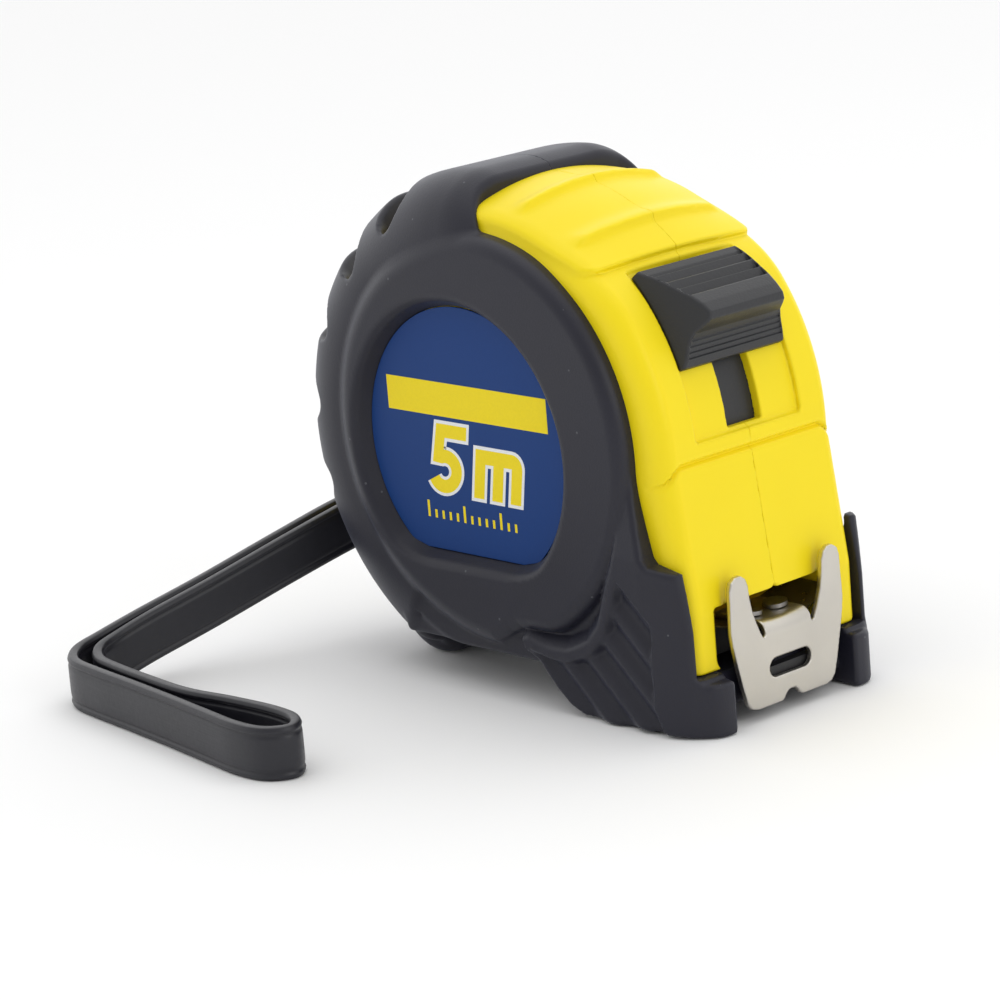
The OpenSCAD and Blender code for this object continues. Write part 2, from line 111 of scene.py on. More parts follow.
def outline_distance(x: Array, z: Array, corners: Sequence[tuple[float, float]]) -> Array:
    """Signed distance to a closed outline: the least distance to an edge, negative inside.

    A point is inside where a line from it crosses the edges an odd number of times.

    Args:
        x: First coordinate of the points.
        z: Second coordinate of the points.
        corners: The outline's corners in order.

    Returns:
        The distance in the shape that x and z broadcast to.
    """
    best = np.full(np.broadcast(x, z).shape, np.inf)
    inside = np.zeros(best.shape, bool)
    for (ax, az), (bx, bz) in zip(corners, list(corners[1:]) + [corners[0]]):
        ex, ez = bx - ax, bz - az
        t = np.clip(((x - ax) * ex + (z - az) * ez) / (ex * ex + ez * ez), 0.0, 1.0)
        best = np.minimum(best, np.hypot(x - ax - t * ex, z - az - t * ez))
        if ez:
            spans = (az <= z) != (bz <= z)
            inside ^= spans & (x < ax + (z - az) * ex / ez)
    return np.where(inside, -best, best)


def steps(low: float, high: float, size: float, fine: Sequence[Triple] = ()) -> Array:
    """Grid places from low to high, size apart, closer inside each (start, end, size) of fine."""
    places = [low]
    while places[-1] < high:
        here = places[-1]
        places.append(here + min([size] + [s for a, b, s in fine if a <= here + 1e-6 < b]))
    return np.array(places)


class SolidMesher:
    """Turns a distance function into a closed mesh: one point in each cell that the surface crosses."""

    corners = [(i, j, k) for i in (0, 1) for j in (0, 1) for k in (0, 1)]

    def __init__(self, solid: Field, axes: Axes) -> None:
        """Keeps the solid's distance function and the grid's places along X, Y and Z."""
        self.solid = solid
        self.axes = axes

    def slope(self, p: Array, reach: float = 0.12) -> Array:
        """Gradient by central differences, (f(p + h) - f(p - h)) / 2h along each axis."""
        rows = []
        for axis in range(3):
            step = np.zeros(3)
            step[axis] = reach
            high, low = p + step, p - step
            rows.append((self.solid(*high.T) - self.solid(*low.T)) / (2 * reach))
        return np.stack(rows, axis=1)

    def cells(self) -> tuple[Array, Array, Array, Array]:
        """Finds the crossed cells and the mean of the points where the surface cuts each one's edges.

        Returns:
            The points, which grid points are inside, the cells' index grid, and each cell's longest side.
        """
        xs, ys, zs = self.axes
        value = self.solid(xs[:, None, None], ys[None, :, None], zs[None, None, :])
        value = np.broadcast_to(value, (len(xs), len(ys), len(zs)))
        inside = value < 0
        nx, ny, nz = (n - 1 for n in value.shape)
        count = sum(inside[i:nx + i, j:ny + j, k:nz + k].astype(np.int8) for i, j, k in self.corners)
        active = (count > 0) & (count < 8)
        cell = np.argwhere(active)
        index = np.full(active.shape, -1)
        index[active] = np.arange(len(cell))
        at = {c: value[cell[:, 0] + c[0], cell[:, 1] + c[1], cell[:, 2] + c[2]] for c in self.corners}
        total, hits = np.zeros((len(cell), 3)), np.zeros(len(cell))
        for a in self.corners:
            for axis in range(3):
                if a[axis]:
                    continue
                b = tuple(1 if n == axis else c for n, c in enumerate(a))
                crossed = (at[a] < 0) != (at[b] < 0)
                share = np.where(crossed, at[a] / np.where(crossed, at[a] - at[b], 1.0), 0.0)
                place = np.tile(np.array(a, float), (len(cell), 1))
                place[:, axis] = share
                total += place * crossed[:, None]
                hits += crossed
        unit = total / hits[:, None]
        low = np.stack([axis[cell[:, n]] for n, axis in enumerate(self.axes)], axis=1)
        side = np.stack([np.diff(axis)[cell[:, n]] for n, axis in enumerate(self.axes)], axis=1)
        return low + unit * side, inside, index, side.max(axis=1)

    def quads(self, inside: Array, index: Array) -> Array:
        """Joins the four cells round every grid edge that the surface crosses, turned to face outwards."""
        faces = []
        for axis in range(3):
            u, v = (axis + 1) % 3, (axis + 2) % 3
            first = inside.take(range(inside.shape[axis] - 1), axis)
            second = inside.take(range(1, inside.shape[axis]), axis)
            edge = np.argwhere(first != second)
            edge = edge[(edge[:, u] > 0) & (edge[:, v] > 0)
                        & (edge[:, u] < inside.shape[u] - 1) & (edge[:, v] < inside.shape[v] - 1)]
            du, dv = np.eye(3, dtype=int)[u], np.eye(3, dtype=int)[v]
            ring = np.stack([index[tuple((edge - off).T)] for off in (0 * du, du, du + dv, dv)], axis=1)
            outward = first[tuple(edge.T)]
            faces.append(np.where(outward[:, None], ring, ring[:, ::-1]))
        return np.concatenate(faces)

    def build(self) -> tuple[Array, Array, Array]:
        """Makes the mesh, its points slid along the gradient by -f / |gradient| on to the surface.

        Returns:
            Points, quads and outward normals.
        """
        points, inside, index, size = self.cells()
        quads = self.quads(inside, index)
        for _ in range(3):
            grad = self.slope(points, 0.05)
            square = np.maximum((grad * grad).sum(axis=1), 0.05)
            move = -self.solid(*points.T)[:, None] * grad / square[:, None]
            length = np.maximum(np.linalg.norm(move, axis=1), 1e-9)
            points = points + move * np.minimum(1.0, 0.5 * size / length)[:, None]
        normals = self.slope(points)
        return points, quads, normals / np.maximum(np.linalg.norm(normals, axis=1), 1e-9)[:, None]


def put_mesh(name: str, points: Array, quads: Array, normals: Array | None = None) -> bpy.types.Object:
    """Puts points in millimetres and faces of equal length into a new smooth mesh object at the origin.

    Args:
        name: Name of the piece.
        points: Its points.
        quads: Its faces, one row of point numbers each.
        normals: Outward normals at the points, or None to leave them to Blender.

    Returns:
        The object, linked to the scene.
    """
    mesh = bpy.data.meshes.new(name)
    sides = quads.shape[1]
    mesh.vertices.add(len(points))
    mesh.vertices.foreach_set("co", (points * MM).astype(np.float32).ravel())
    mesh.loops.add(quads.size)
    mesh.loops.foreach_set("vertex_index", quads.astype(np.int32).ravel())
    mesh.polygons.add(len(quads))
    mesh.polygons.foreach_set("loop_start", np.arange(0, quads.size, sides, dtype=np.int32))
    mesh.polygons.foreach_set("use_smooth", np.ones(len(quads), bool))
    mesh.update(calc_edges=True)
    mesh.validate()
    if normals is not None:
        mesh.normals_split_custom_set_from_vertices(normals.tolist())
    obj = bpy.data.objects.new(name, mesh)
    bpy.context.scene.collection.objects.link(obj)
    return obj


def put_solid(name: str, solid: Field, axes: Axes, mirror: bool = False) -> bpy.types.Object:
    """Builds a solid's mesh; the mirrored one has Y and the way round of its faces reversed."""
    points, quads, normals = SolidMesher(solid, axes).build()
    if mirror:
        flip = np.array([1.0, -1.0, 1.0])
        points, normals, quads = points * flip, normals * flip, quads[:, ::-1]
    return put_mesh(name, points, quads, normals)


def put_outline(name: str, outlines: Sequence[Array], thickness: float, bevel: float, place: Matrix,
                resolution: int = 2) -> bpy.types.Object:
    """A flat plate from outlines, the inner ones being holes, given a thickness and a small bevel.

    Args:
        name: Name of the piece.
        outlines: Closed outlines, each an array of (u, v) points in millimetres.
        thickness: Thickness of the plate, bevels included.
        bevel: Size of the bevel.
        place: Turns and moves the plate from its own flat frame, in millimetres.
        resolution: Steps in the bevel.

    Returns:
        The mesh object at the origin.
    """
    curve = bpy.data.curves.new(name, "CURVE")
    curve.dimensions = "2D"
    curve.fill_mode = "BOTH"
    curve.extrude = thickness / 2 - bevel
    curve.bevel_depth = bevel
    curve.bevel_resolution = resolution
    curve.offset = -bevel
    for outline in outlines:
        spline = curve.splines.new("POLY")
        count = len(outline)
        spline.points.add(count - 1)
        spline.points.foreach_set("co", np.c_[outline, np.zeros(count), np.ones(count)].ravel())
        spline.use_cyclic_u = True
    obj = bpy.data.objects.new(name, curve)
    bpy.context.scene.collection.objects.link(obj)
    bpy.context.view_layer.update()
    mesh = bpy.data.meshes.new_from_object(obj.evaluated_get(bpy.context.evaluated_depsgraph_get()))
    bpy.data.objects.remove(obj)
    mesh.transform(Matrix.Scale(MM, 4) @ place)
    mesh.name = name
    plate = bpy.data.objects.new(name, mesh)
    bpy.context.scene.collection.objects.link(plate)
    return plate


# ------------------------------------------------------------------ shader maths


class Wire:
    """A socket, or a number, that adds Math nodes when it meets an operator."""

    def __init__(self, graph: "Graph", source: object) -> None:
        """Keeps the graph that new nodes go into and the socket."""
        self.graph = graph
        self.source = source

    def math(self, kind: str, *others: object) -> "Wire":
        """One Math node of that kind on this value and the others."""
        return self.graph.node("ShaderNodeMath", {"operation": kind}, [self, *others])

    def __add__(self, other: object) -> "Wire":
        """Sum."""
        return self.math("ADD", other)

    def __sub__(self, other: object) -> "Wire":
        """Difference."""
        return self.math("SUBTRACT", other)

    def __rsub__(self, other: object) -> "Wire":
        """Difference from a number."""
        return self.graph.node("ShaderNodeMath", {"operation": "SUBTRACT"}, [other, self])

    def __mul__(self, other: object) -> "Wire":
        """Product."""
        return self.math("MULTIPLY", other)

    def __truediv__(self, other: object) -> "Wire":
        """Quotient."""
        return self.math("DIVIDE", other)

    def __lt__(self, other: object) -> "Wire":
        """One where this is the smaller."""
        return self.math("LESS_THAN", other)

    def __gt__(self, other: object) -> "Wire":
        """One where this is the greater."""
        return self.math("GREATER_THAN", other)

    __radd__ = __add__
    __rmul__ = __mul__


class Graph:
    """The node graph of one material."""

    def __init__(self, name: str) -> None:
        """Starts an empty graph with an output node."""
        self.material = bpy.data.materials.new(name)
        self.material.use_nodes = True
        self.tree = self.material.node_tree
        self.tree.nodes.clear()
        self.output = self.tree.nodes.new("ShaderNodeOutputMaterial")

    def node(self, kind: str, settings: dict[str, object], inputs: Sequence[object] | dict[str, object],
             output: str | int = 0) -> Wire:
        """Adds a node.

        Args:
            kind: Type of the node.
            settings: Its own settings; "stops" gives a ramp's (place, colour) pairs.
            inputs: Values or wires for its sockets, in order or by name.
            output: Which socket comes out.

        Returns:
            The output socket as a wire.
        """
        made = self.tree.nodes.new(kind)
        for key, value in settings.items():
            if key == "stops":
                ramp = made.color_ramp.elements
                while len(ramp) < len(value):
                    ramp.new(0.5)
                for element, (place, colour) in zip(ramp, value):
                    element.position = place
                    element.color = (*colour, 1.0)
            else:
                setattr(made, key, value)
        pairs = inputs.items() if isinstance(inputs, dict) else enumerate(inputs)
        for key, value in pairs:
            if isinstance(value, Wire):
                self.tree.links.new(value.source, made.inputs[key])
            elif value is not None:
                made.inputs[key].default_value = value
        return Wire(self, made.outputs[output])

    def place(self) -> Wire:
        """Object coordinates, in metres."""
        return self.node("ShaderNodeTexCoord", {}, [], "Object")

    def axes(self) -> tuple[Wire, Wire, Wire]:
        """The three object coordinates, each in millimetres."""
        split = self.node("ShaderNodeSeparateXYZ", {}, [self.place()])
        node = split.source.node
        return tuple(Wire(self, node.outputs[n]) / MM for n in range(3))

    def noise(self, scale: float, detail: float = 3.0, stretch: Triple = (1, 1, 1)) -> Wire:
        """Noise about 0.5, scale waves to the millimetre, stretched along the axes."""
        where = self.node("ShaderNodeMapping", {}, {"Vector": self.place(), "Scale": stretch})
        return self.node("ShaderNodeTexNoise", {}, {"Vector": where, "Scale": scale / MM, "Detail": detail})

    def mix(self, share: object, first: object, second: object) -> Wire:
        """Colour mix of two colours or wires."""
        made = self.tree.nodes.new("ShaderNodeMix")
        made.data_type = "RGBA"
        for key, value in ((0, share), (6, first), (7, second)):
            if isinstance(value, Wire):
                self.tree.links.new(value.source, made.inputs[key])
            else:
                made.inputs[key].default_value = (*value, 1.0) if isinstance(value, tuple) else value
        return Wire(self, made.outputs[2])

    def bump(self, height: Wire, depth: float) -> Wire:
        """Bump from a height of 0..1 that stands for depth millimetres."""
        return self.node("ShaderNodeBump", {}, {"Height": height, "Distance": depth * MM, "Strength": 1.0})

    def finish(self, inputs: dict[str, object]) -> bpy.types.Material:
        """Closes the graph with a Principled shader that has these inputs."""
        shader = self.node("ShaderNodeBsdfPrincipled", {}, inputs)
        self.tree.links.new(shader.source, self.output.inputs["Surface"])
        return self.material


def linear(red: int, green: int, blue: int) -> Triple:
    """A display colour of 0..255 as linear light: c / 12.92 if dark, else ((c + 0.055) / 1.055) ** 2.4."""
    rows = [c / 255 for c in (red, green, blue)]
    return tuple(c / 12.92 if c <= 0.04045 else ((c + 0.055) / 1.055) ** 2.4 for c in rows)


@dataclass(frozen=True)
class MouldedPlastic:
    """Moulded plastic with a faint spark-eroded grain and a little cloudiness."""

    name: str
    colour: Triple
    shade: Triple
    roughness: float = 0.36
    grain: float = 0.012
    glow: float = 0.0
    shine: float = 0.5

    def make(self) -> bpy.types.Material:
        """Builds the material."""
        g = Graph(self.name)
        cloud = g.noise(0.05, 2.0)
        fine = g.noise(2.6, 2.0)
        height = fine + g.noise(0.6, 3.0) * 0.6
        return g.finish({
            "Base Color": g.mix(cloud * 0.9 - 0.1, self.colour, self.shade),
            "Roughness": cloud * 0.1 + fine * 0.06 + (self.roughness - 0.08),
            "Subsurface Weight": self.glow,
            "Subsurface Radius": (0.002, 0.0015, 0.0004),
            "Subsurface Scale": 1.0,
            "IOR": 1.5,
            "Specular IOR Level": self.shine,
            "Normal": g.bump(height, self.grain)})


@dataclass(frozen=True)
class SoftRubber:
    """Matt overmoulded rubber: fine pebbled grain, a cool bloom and a few dust specks."""

    name: str
    colour: Triple
    bloom: Triple
    roughness: float = 0.52
    grain: float = 0.018

    def make(self) -> bpy.types.Material:
        """Builds the material."""
        g = Graph(self.name)
        cloud = g.noise(0.07, 3.0)
        pebble = g.noise(3.2, 1.0)
        dust = g.node("ShaderNodeTexVoronoi", {}, {"Vector": g.place(), "Scale": 0.23 / MM})
        speck = dust < 0.045
        base = g.mix(cloud, self.colour, self.bloom)
        return g.finish({
            "Base Color": g.mix(speck * 0.22, base, (0.25, 0.26, 0.28)),
            "Roughness": cloud * 0.12 + pebble * 0.08 + (self.roughness - 0.1),
            "Sheen Weight": 0.06,
            "Sheen Roughness": 0.4,
            "Sheen Tint": (0.62, 0.72, 1.0, 1.0),
            "Specular IOR Level": 0.44,
            "Normal": g.bump(pebble + speck * 0.4, self.grain)})


@dataclass(frozen=True)
class StrapVinyl:
    """Satin vinyl with fine lines along the strap, read from the strap's own UV map."""

    name: str
    colour: Triple

    def make(self) -> bpy.types.Material:
        """Builds the material."""
        g = Graph(self.name)
        uv = g.node("ShaderNodeTexCoord", {}, [], "UV")
        drawn = g.node("ShaderNodeMapping", {}, {"Vector": uv, "Scale": (6.0, 140.0, 1.0)})
        lines = g.node("ShaderNodeTexNoise", {}, {"Vector": drawn, "Scale": 1.0, "Detail": 2.0})
        pebble = g.noise(1.4, 2.0)
        cloud = g.noise(0.08, 2.0)
        return g.finish({
            "Base Color": g.mix(cloud, self.colour, tuple(c * 1.5 for c in self.colour)),
            "Roughness": pebble * 0.12 + lines * 0.1 + 0.3,
            "Normal": g.bump(pebble * 0.5 + lines * 0.5, 0.03)})


@dataclass(frozen=True)
class BareMetal:
    """Plated or bright metal with rolled lines, soft smudges and a few fine scratches."""

    name: str
    colour: Triple
    roughness: float = 0.24
    line: Triple = (1.0, 1.0, 0.12)
    depth: float = 0.004

    def make(self) -> bpy.types.Material:
        """Builds the material."""
        g = Graph(self.name)
        rolled = g.noise(2.0, 3.0, self.line)
        smudge = g.noise(0.12, 4.0)
        pits = g.noise(1.2, 2.0)
        dark = tuple(c * 0.86 for c in self.colour)
        return g.finish({
            "Base Color": g.mix(smudge, self.colour, dark),
            "Metallic": 1.0,
            "Roughness": smudge * 0.16 + rolled * 0.08 + (self.roughness - 0.12),
            "Normal": g.bump(rolled * 0.6 + pits, self.depth)})


@dataclass(frozen=True)
class PrintedFilm:
    """Glossy printed label film over a faint orange peel."""

    name: str
    colour: Triple
    roughness: float = 0.3

    def make(self) -> bpy.types.Material:
        """Builds the material."""
        g = Graph(self.name)
        cloud = g.noise(0.1, 2.0)
        dots = g.noise(3.5, 1.0)
        return g.finish({
            "Base Color": g.mix(dots * 0.5, self.colour, tuple(c * 0.82 for c in self.colour)),
            "Roughness": cloud * 0.1 + (self.roughness - 0.05),
            "Specular IOR Level": 0.2,
            "Normal": g.bump(cloud, 0.02)})


@dataclass(frozen=True)
class PaintedTape:
    """Yellow lacquered steel, black millimetre marks along both edges, first centimetre black as painted
    shade.
    """

    name: str
    zero: float = 42.0
    # The first centimetre is painted black as painted shade, standing for the shadow that the mouth casts
    # there.
    painted_shade_end: float = 11.0
    rim: float = 12.1

    def make(self) -> bpy.types.Material:
        """Builds the material.

        A mark is dark where the distance to the nearest whole step is under half a line's width.
        """
        g = Graph(self.name)
        x, y, _ = g.axes()
        run = self.zero - x

        def near(step: float, width: float) -> Wire:
            """One within half a width of a whole number of steps from the hook."""
            return (run / step + 0.5).math("FRACT").math("SUBTRACT", 0.5).math("ABSOLUTE") * step < width / 2

        edge = y.math("ABSOLUTE")
        fine = near(1.0, 0.22) * (edge > 9.6)
        half = near(5.0, 0.26) * (edge > 7.6)
        full = near(10.0, 0.3) * (edge > 5.2)
        # The rim mask also holds the black first centimetre, which is painted shade for the shadow in the
        # mouth.
        rim = (edge > self.rim).math("MAXIMUM", run < self.painted_shade_end)
        marks = fine.math("MAXIMUM", half).math("MAXIMUM", full).math("MAXIMUM", rim)
        worn = g.noise(0.5, 4.0)
        paint = g.mix(worn, (0.86, 0.58, 0.02), (0.78, 0.5, 0.02))
        return g.finish({
            "Base Color": g.mix(marks * 0.95, paint, (0.012, 0.012, 0.014)),
            "Roughness": worn * 0.15 + 0.22,
            "Coat Weight": 0.4,
            "Coat Roughness": 0.2,
            "Normal": g.bump(worn - marks * 0.3, 0.01)})


@dataclass
class Palette:
    """Every finish of the tape measure, made once."""

    made: dict[str, bpy.types.Material] = field(default_factory=dict)

    def build(self) -> None:
        """Makes the materials."""
        finishes = [
            MouldedPlastic("case_yellow", (0.93, 0.735, 0.008), (0.89, 0.69, 0.006), 0.42, 0.01,
                           glow=0.06, shine=0.28),
            SoftRubber("grip_rubber", (0.0075, 0.007, 0.0145), (0.011, 0.011, 0.022), 0.47),
            MouldedPlastic("lock_black", (0.015, 0.0155, 0.018), (0.021, 0.022, 0.026), 0.46, 0.03),
            MouldedPlastic("plain_black", linear(28, 28, 30), linear(34, 34, 37), 0.5, 0.02),
            MouldedPlastic("drum_ivory", linear(226, 220, 204), linear(212, 205, 188), 0.5, 0.02),
            MouldedPlastic("slip_white", linear(235, 236, 236), linear(220, 222, 222), 0.3, 0.004),
            StrapVinyl("strap_black", (0.009, 0.009, 0.0135)),
            BareMetal("hook_nickel", (0.63, 0.60, 0.545), 0.34),
            BareMetal("plated_bright", (0.70, 0.70, 0.71), 0.25, (1, 1, 1)),
            # The rivets' darkened metal is painted shade, for the shadow they sit in inside the mouth.
            BareMetal("rivet_painted_shade", (0.34, 0.33, 0.32), 0.34, (1, 1, 1)),
            BareMetal("spring_blue", (0.30, 0.33, 0.38), 0.34, (1, 0.1, 1)),
            PrintedFilm("label_blue", (0.006, 0.044, 0.195), 0.45),
            PrintedFilm("print_yellow", linear(247, 222, 24)),
            PrintedFilm("print_white", linear(238, 240, 242)),
            PaintedTape("tape_paint")]
        for finish in finishes:
            self.made[finish.name] = finish.make()

    def dress(self, obj: bpy.types.Object, name: str) -> None:
        """Gives a piece one finish."""
        obj.data.materials.clear()
        obj.data.materials.append(self.made[name])


def hand_over(obj: bpy.types.Object, body: Body, slot: Slot, *nodes: str) -> None:
    """Lets a piece ride on its body and lets it stand for its CAD nodes."""
    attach(obj, body.value)
    if nodes:
        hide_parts(*nodes)
    LOG.info("%s: %d faces on %s", obj.name, len(obj.data.polygons), body.value)


# ------------------------------------------------------------------ shared places


@dataclass(frozen=True)
class Layout:
    """Places that the case, the grip, the label and the lock share."""

    hub: tuple[float, float] = (-3.3, 38.6)
    front: tuple[float, float] = (0.3, 39.2)
    boss: tuple[float, float] = (0.4, 40.2)
    front_r: float = 37.5
    pad_rise: float = 0.9
    seat_y: float = 18.4
    boss_r: float = 31.5
    boss_y: float = 21.2
    window_r: float = 21.4
    window_flat: float = 21.5
    screws: Corners = ((-26.21, 61.51), (-24.98, 14.52), (11.91, 67.21), (35.6, 24.0))
    groove_angles: tuple[float, ...] = (114.5, 134.5, 155.0, 175.5, 196.0)

    def from_hub(self, x: Array, z: Array) -> tuple[Array, Array]:
        """Radius and angle in degrees, 0 to 360, round the drum's axis."""
        dx, dz = x - self.hub[0], z - self.hub[1]
        return np.hypot(dx, dz), np.degrees(np.arctan2(dz, dx)) % 360.0

    def from_front(self, x: Array, z: Array) -> tuple[Array, Array]:
        """Radius and angle in degrees, -90 to 270, round the centre of the curved front."""
        dx, dz = x - self.front[0], z - self.front[1]
        angle = np.degrees(np.arctan2(dz, dx))
        return np.hypot(dx, dz), np.where(angle < -90.0, angle + 360.0, angle)

    def label_shape(self, x: Array, z: Array, grow: Array | float) -> Array:
        """The label's D: a circle cut off flat below, with eased corners, grown outwards."""
        r, _ = self.from_hub(x, z)
        return meet(r - self.window_r - grow, self.window_flat - grow - z, 2.4)


LAYOUT = Layout()


# ------------------------------------------------------------------ case


@dataclass
class CaseShell:
    """The hard yellow case in two halves that meet at Y = 0."""

    cell: float = 0.53
    nose_x: float = 40.7
    mouth_top: float = 18.3
    mouth_half: float = 12.9
    belly: float = 7.5
    back_r: float = 36.7
    half_width: float = 16.6
    half_grows: float = 1.5
    edge_rise: float = 4.0
    edge_side: float = 2.6
    groove_z: float = 39.5
    pad_from: float = 48.9
    pad_to: float = 96.0
    pad_half: float = 17.4
    ribs: tuple[float, float] = (58.6, 77.4)
    lock_angle: float = 25.85
    recess_half: float = 11.1
    recess_run: float = 13.65
    slot_half: float = 3.6
    slot_run: float = 13.0
    room_r: float = 27.5
    room_half: float = 13.3
    track_r: tuple[float, float] = (33.8, 35.12)
    pin: tuple[float, float] = (-32.2, 20.0)

    def skin(self, x: Array, y: Array, z: Array) -> Array:
        """Outside of the case: crowned over the top, flat in front, with edges rounded to an ellipse.

        The side outline's distance d gains a crown of y squared over 96, faded in with the angle. The edge
        is the ellipse (d + 4) / 4 against (y - half + 2.6) / 2.6. The half width grows in front and on top.
        """
        r, angle = LAYOUT.from_front(x, z)
        hub_r, _ = LAYOUT.from_hub(x, z)
        leaning = (39.2 - z) * (self.nose_x - 37.8) / (39.2 - self.mouth_top) + 37.8
        lean = np.where(z > self.mouth_top, leaning, self.nose_x)
        below = np.maximum((x - lean) * 0.99, z - 39.4)
        round_part = np.minimum(r - LAYOUT.front_r, hub_r - self.back_r)
        outline = np.minimum(round_part, np.maximum(below, -5.0 - x))
        outline = meet(outline, self.belly - z, 0.6)
        ahead = ease(-4.0, 4.0, x)
        outline = outline + ease(36.0, 68.0, angle) * y * y / 96.0
        line = self.groove_z - 3.4 * ease(14.5, 19.0, y)
        outline = outline + 0.7 * np.exp(-((z - line) / 0.36) ** 2) * ahead
        half = self.half_width + self.half_grows * np.maximum(ease(12.0, 20.0, x), ease(48.0, 60.0, z))
        rise = np.maximum(outline + self.edge_rise, 0) / self.edge_rise
        side = np.maximum(y - half + self.edge_side, 0) / self.edge_side
        reach = np.hypot(rise, side)
        pull = np.maximum(np.hypot(rise / self.edge_rise, side / self.edge_side), 1e-6)
        flat = np.maximum(outline, y - half)
        return np.where(reach > 0.35, (reach - 1.0) * reach / pull, flat)

    def thumb_pad(self, skin: Array, y: Array, r: Array, angle: Array) -> Array:
        """Raised pad on top with two tapered ribs, each soft on its upper side and steep on its lower.

        A rib's height over the arc s from its middle is exp(-(s / 1.9)^2) above it and exp(-(s / 0.6)^2)
        below it, faded out across Y towards its ends.
        """
        along = np.radians(angle - self.pad_from) * 38.0
        plan = meet(meet(-along, y - self.pad_half, 2.5), np.radians(angle - self.pad_to) * 38.0, 1.0)
        rib = 0.0
        for middle in self.ribs:
            s = np.radians(angle - middle) * 38.4
            hump = np.exp(-np.where(s > 0, s / 1.9, s / 0.6) ** 2)
            rib = rib + hump * (1.0 - ease(12.8, 15.8, y))
        return meet(skin - LAYOUT.pad_rise - rib, plan, 0.45)

    def openings(self, body: Array, x: Array, y: Array, z: Array, r: Array, angle: Array) -> Array:
        """Cuts the lock's recess and slot, the mouth, the prong hollows and the room inside.

        The recess and the slot are boxes in (arc round the front, Y). The mouth is open below, with a small
        nick at its middle, and each prong's hollow is an upright cylinder.
        """
        along = np.abs(np.radians(angle - self.lock_angle) * 37.0)
        recess = meet(meet(36.7 - r, y - self.recess_half, 0.1), along - self.recess_run, 0.7)
        body = cut(body, recess, 0.3)
        slot = meet(np.maximum(y - self.slot_half, 30.0 - r), along - self.slot_run, 0.3)
        body = cut(body, slot, 0.25)
        mouth = meet(y - self.mouth_half, 9.0 - z, 1.6)
        mouth = np.maximum(mouth, np.maximum(z - self.mouth_top, 4.7 - x))
        mouth = np.minimum(mouth, np.hypot(y, z - self.mouth_top) - 0.45)
        body = cut(body, np.maximum(mouth, 4.7 - x), 0.3)
        body = cut(body, np.maximum(z - 9.05, 28.0 - x), 0.4)
        prong = np.hypot(x - 42.5, y - 9.8) - 2.2
        body = cut(body, meet(prong, np.abs(z - 20.0) - 5.0, 1.8), 0.5)
        return np.maximum(body, -self.hollow(x, y, z, r))

    def hollow(self, x: Array, y: Array, z: Array, r: Array) -> Array:
        """Room inside: the drum's round room, the front space with the screw posts left in it, the track.

        The track is the ring between two radii that the strip slides in. Post and pin have round sockets.
        """
        hub_r, _ = LAYOUT.from_hub(x, z)
        front = np.maximum(np.maximum(r - 35.1, 2.0 - x), np.maximum(29.5 - hub_r, 20.0 - z))
        for px, pz in LAYOUT.screws[2:]:
            front = np.maximum(front, 3.2 - np.hypot(x - px, z - pz))
        inner, outer = self.track_r
        track = np.maximum(np.maximum(r - outer, inner - r), np.maximum(y - 4.2, 9.0 - z))
        track = np.maximum(track, 2.0 - x)
        beside = y - self.room_half
        room = np.minimum(np.maximum(front, beside), np.maximum(hub_r - self.room_r, beside))
        post = hub_r - 3.0
        pin = np.hypot(x - self.pin[0], z - self.pin[1]) - 1.2
        pins = np.minimum(np.maximum(post, y - 15.1), np.maximum(pin, y - 5.2))
        return np.minimum(np.minimum(room, track), pins)

    def solid(self, x: Array, y: Array, z: Array) -> Array:
        """Right half of the case, with a raised bar behind each finger window of the grip."""
        r, angle = LAYOUT.from_front(x, z)
        hub_r, hub_angle = LAYOUT.from_hub(x, z)
        skin = self.skin(x, y, z)
        body = join(skin, self.thumb_pad(skin, y, r, angle), 0.25)
        for middle in LAYOUT.groove_angles:
            along = np.radians(hub_angle - middle) * 38.0
            bar = meet(hub_r - 38.6 + y * y / 90.0, np.abs(along) - 4.2, 0.6)
            body = join(body, meet(bar, y - 15.0, 1.5), 0.3)
        seat = np.maximum(LAYOUT.label_shape(x, z, -0.6), y - LAYOUT.seat_y)
        body = np.minimum(body, np.maximum(seat, 10.0 - y))
        body = self.openings(body, x, y, z, r, angle)
        pocket = meet(np.maximum(y - 3.2, np.abs(z - 20.0) - 4.7), x + 29.6, 0.1)
        body = np.maximum(body, -pocket)
        return meet(body, -y, 0.03)

    def solid_right(self, x: Array, y: Array, z: Array) -> Array:
        """Right half with the screw heads' recesses."""
        body = self.solid(x, y, z)
        for px, pz in LAYOUT.screws:
            hole = np.hypot(x - px, z - pz)
            body = np.maximum(body, -np.maximum(hole - 2.4, 11.7 - y))
            body = np.maximum(body, -np.maximum(hole - 1.2, y - 30.0))
        return body

    def build(self, palette: Palette) -> None:
        """Builds and dresses both halves."""
        size = self.cell * 1.0
        across = steps(-0.5, 19.2, size, [(-0.2, 0.2, 0.05), (3.2, 4.0, 0.2), (10.7, 11.4, 0.2)])
        axes = (steps(-42.8, 42.0, size), across, steps(6.6, 79.6, size, [(35.6, 40.4, 0.25)]))
        for side, solid in (("left", self.solid), ("right", self.solid_right)):
            obj = put_solid(f"case_half_{side}", solid, axes, mirror=side == "left")
            palette.dress(obj, "case_yellow")
            hand_over(obj, Body.CASE, Slot.YELLOW, f"case_{side}")


# ------------------------------------------------------------------ grip


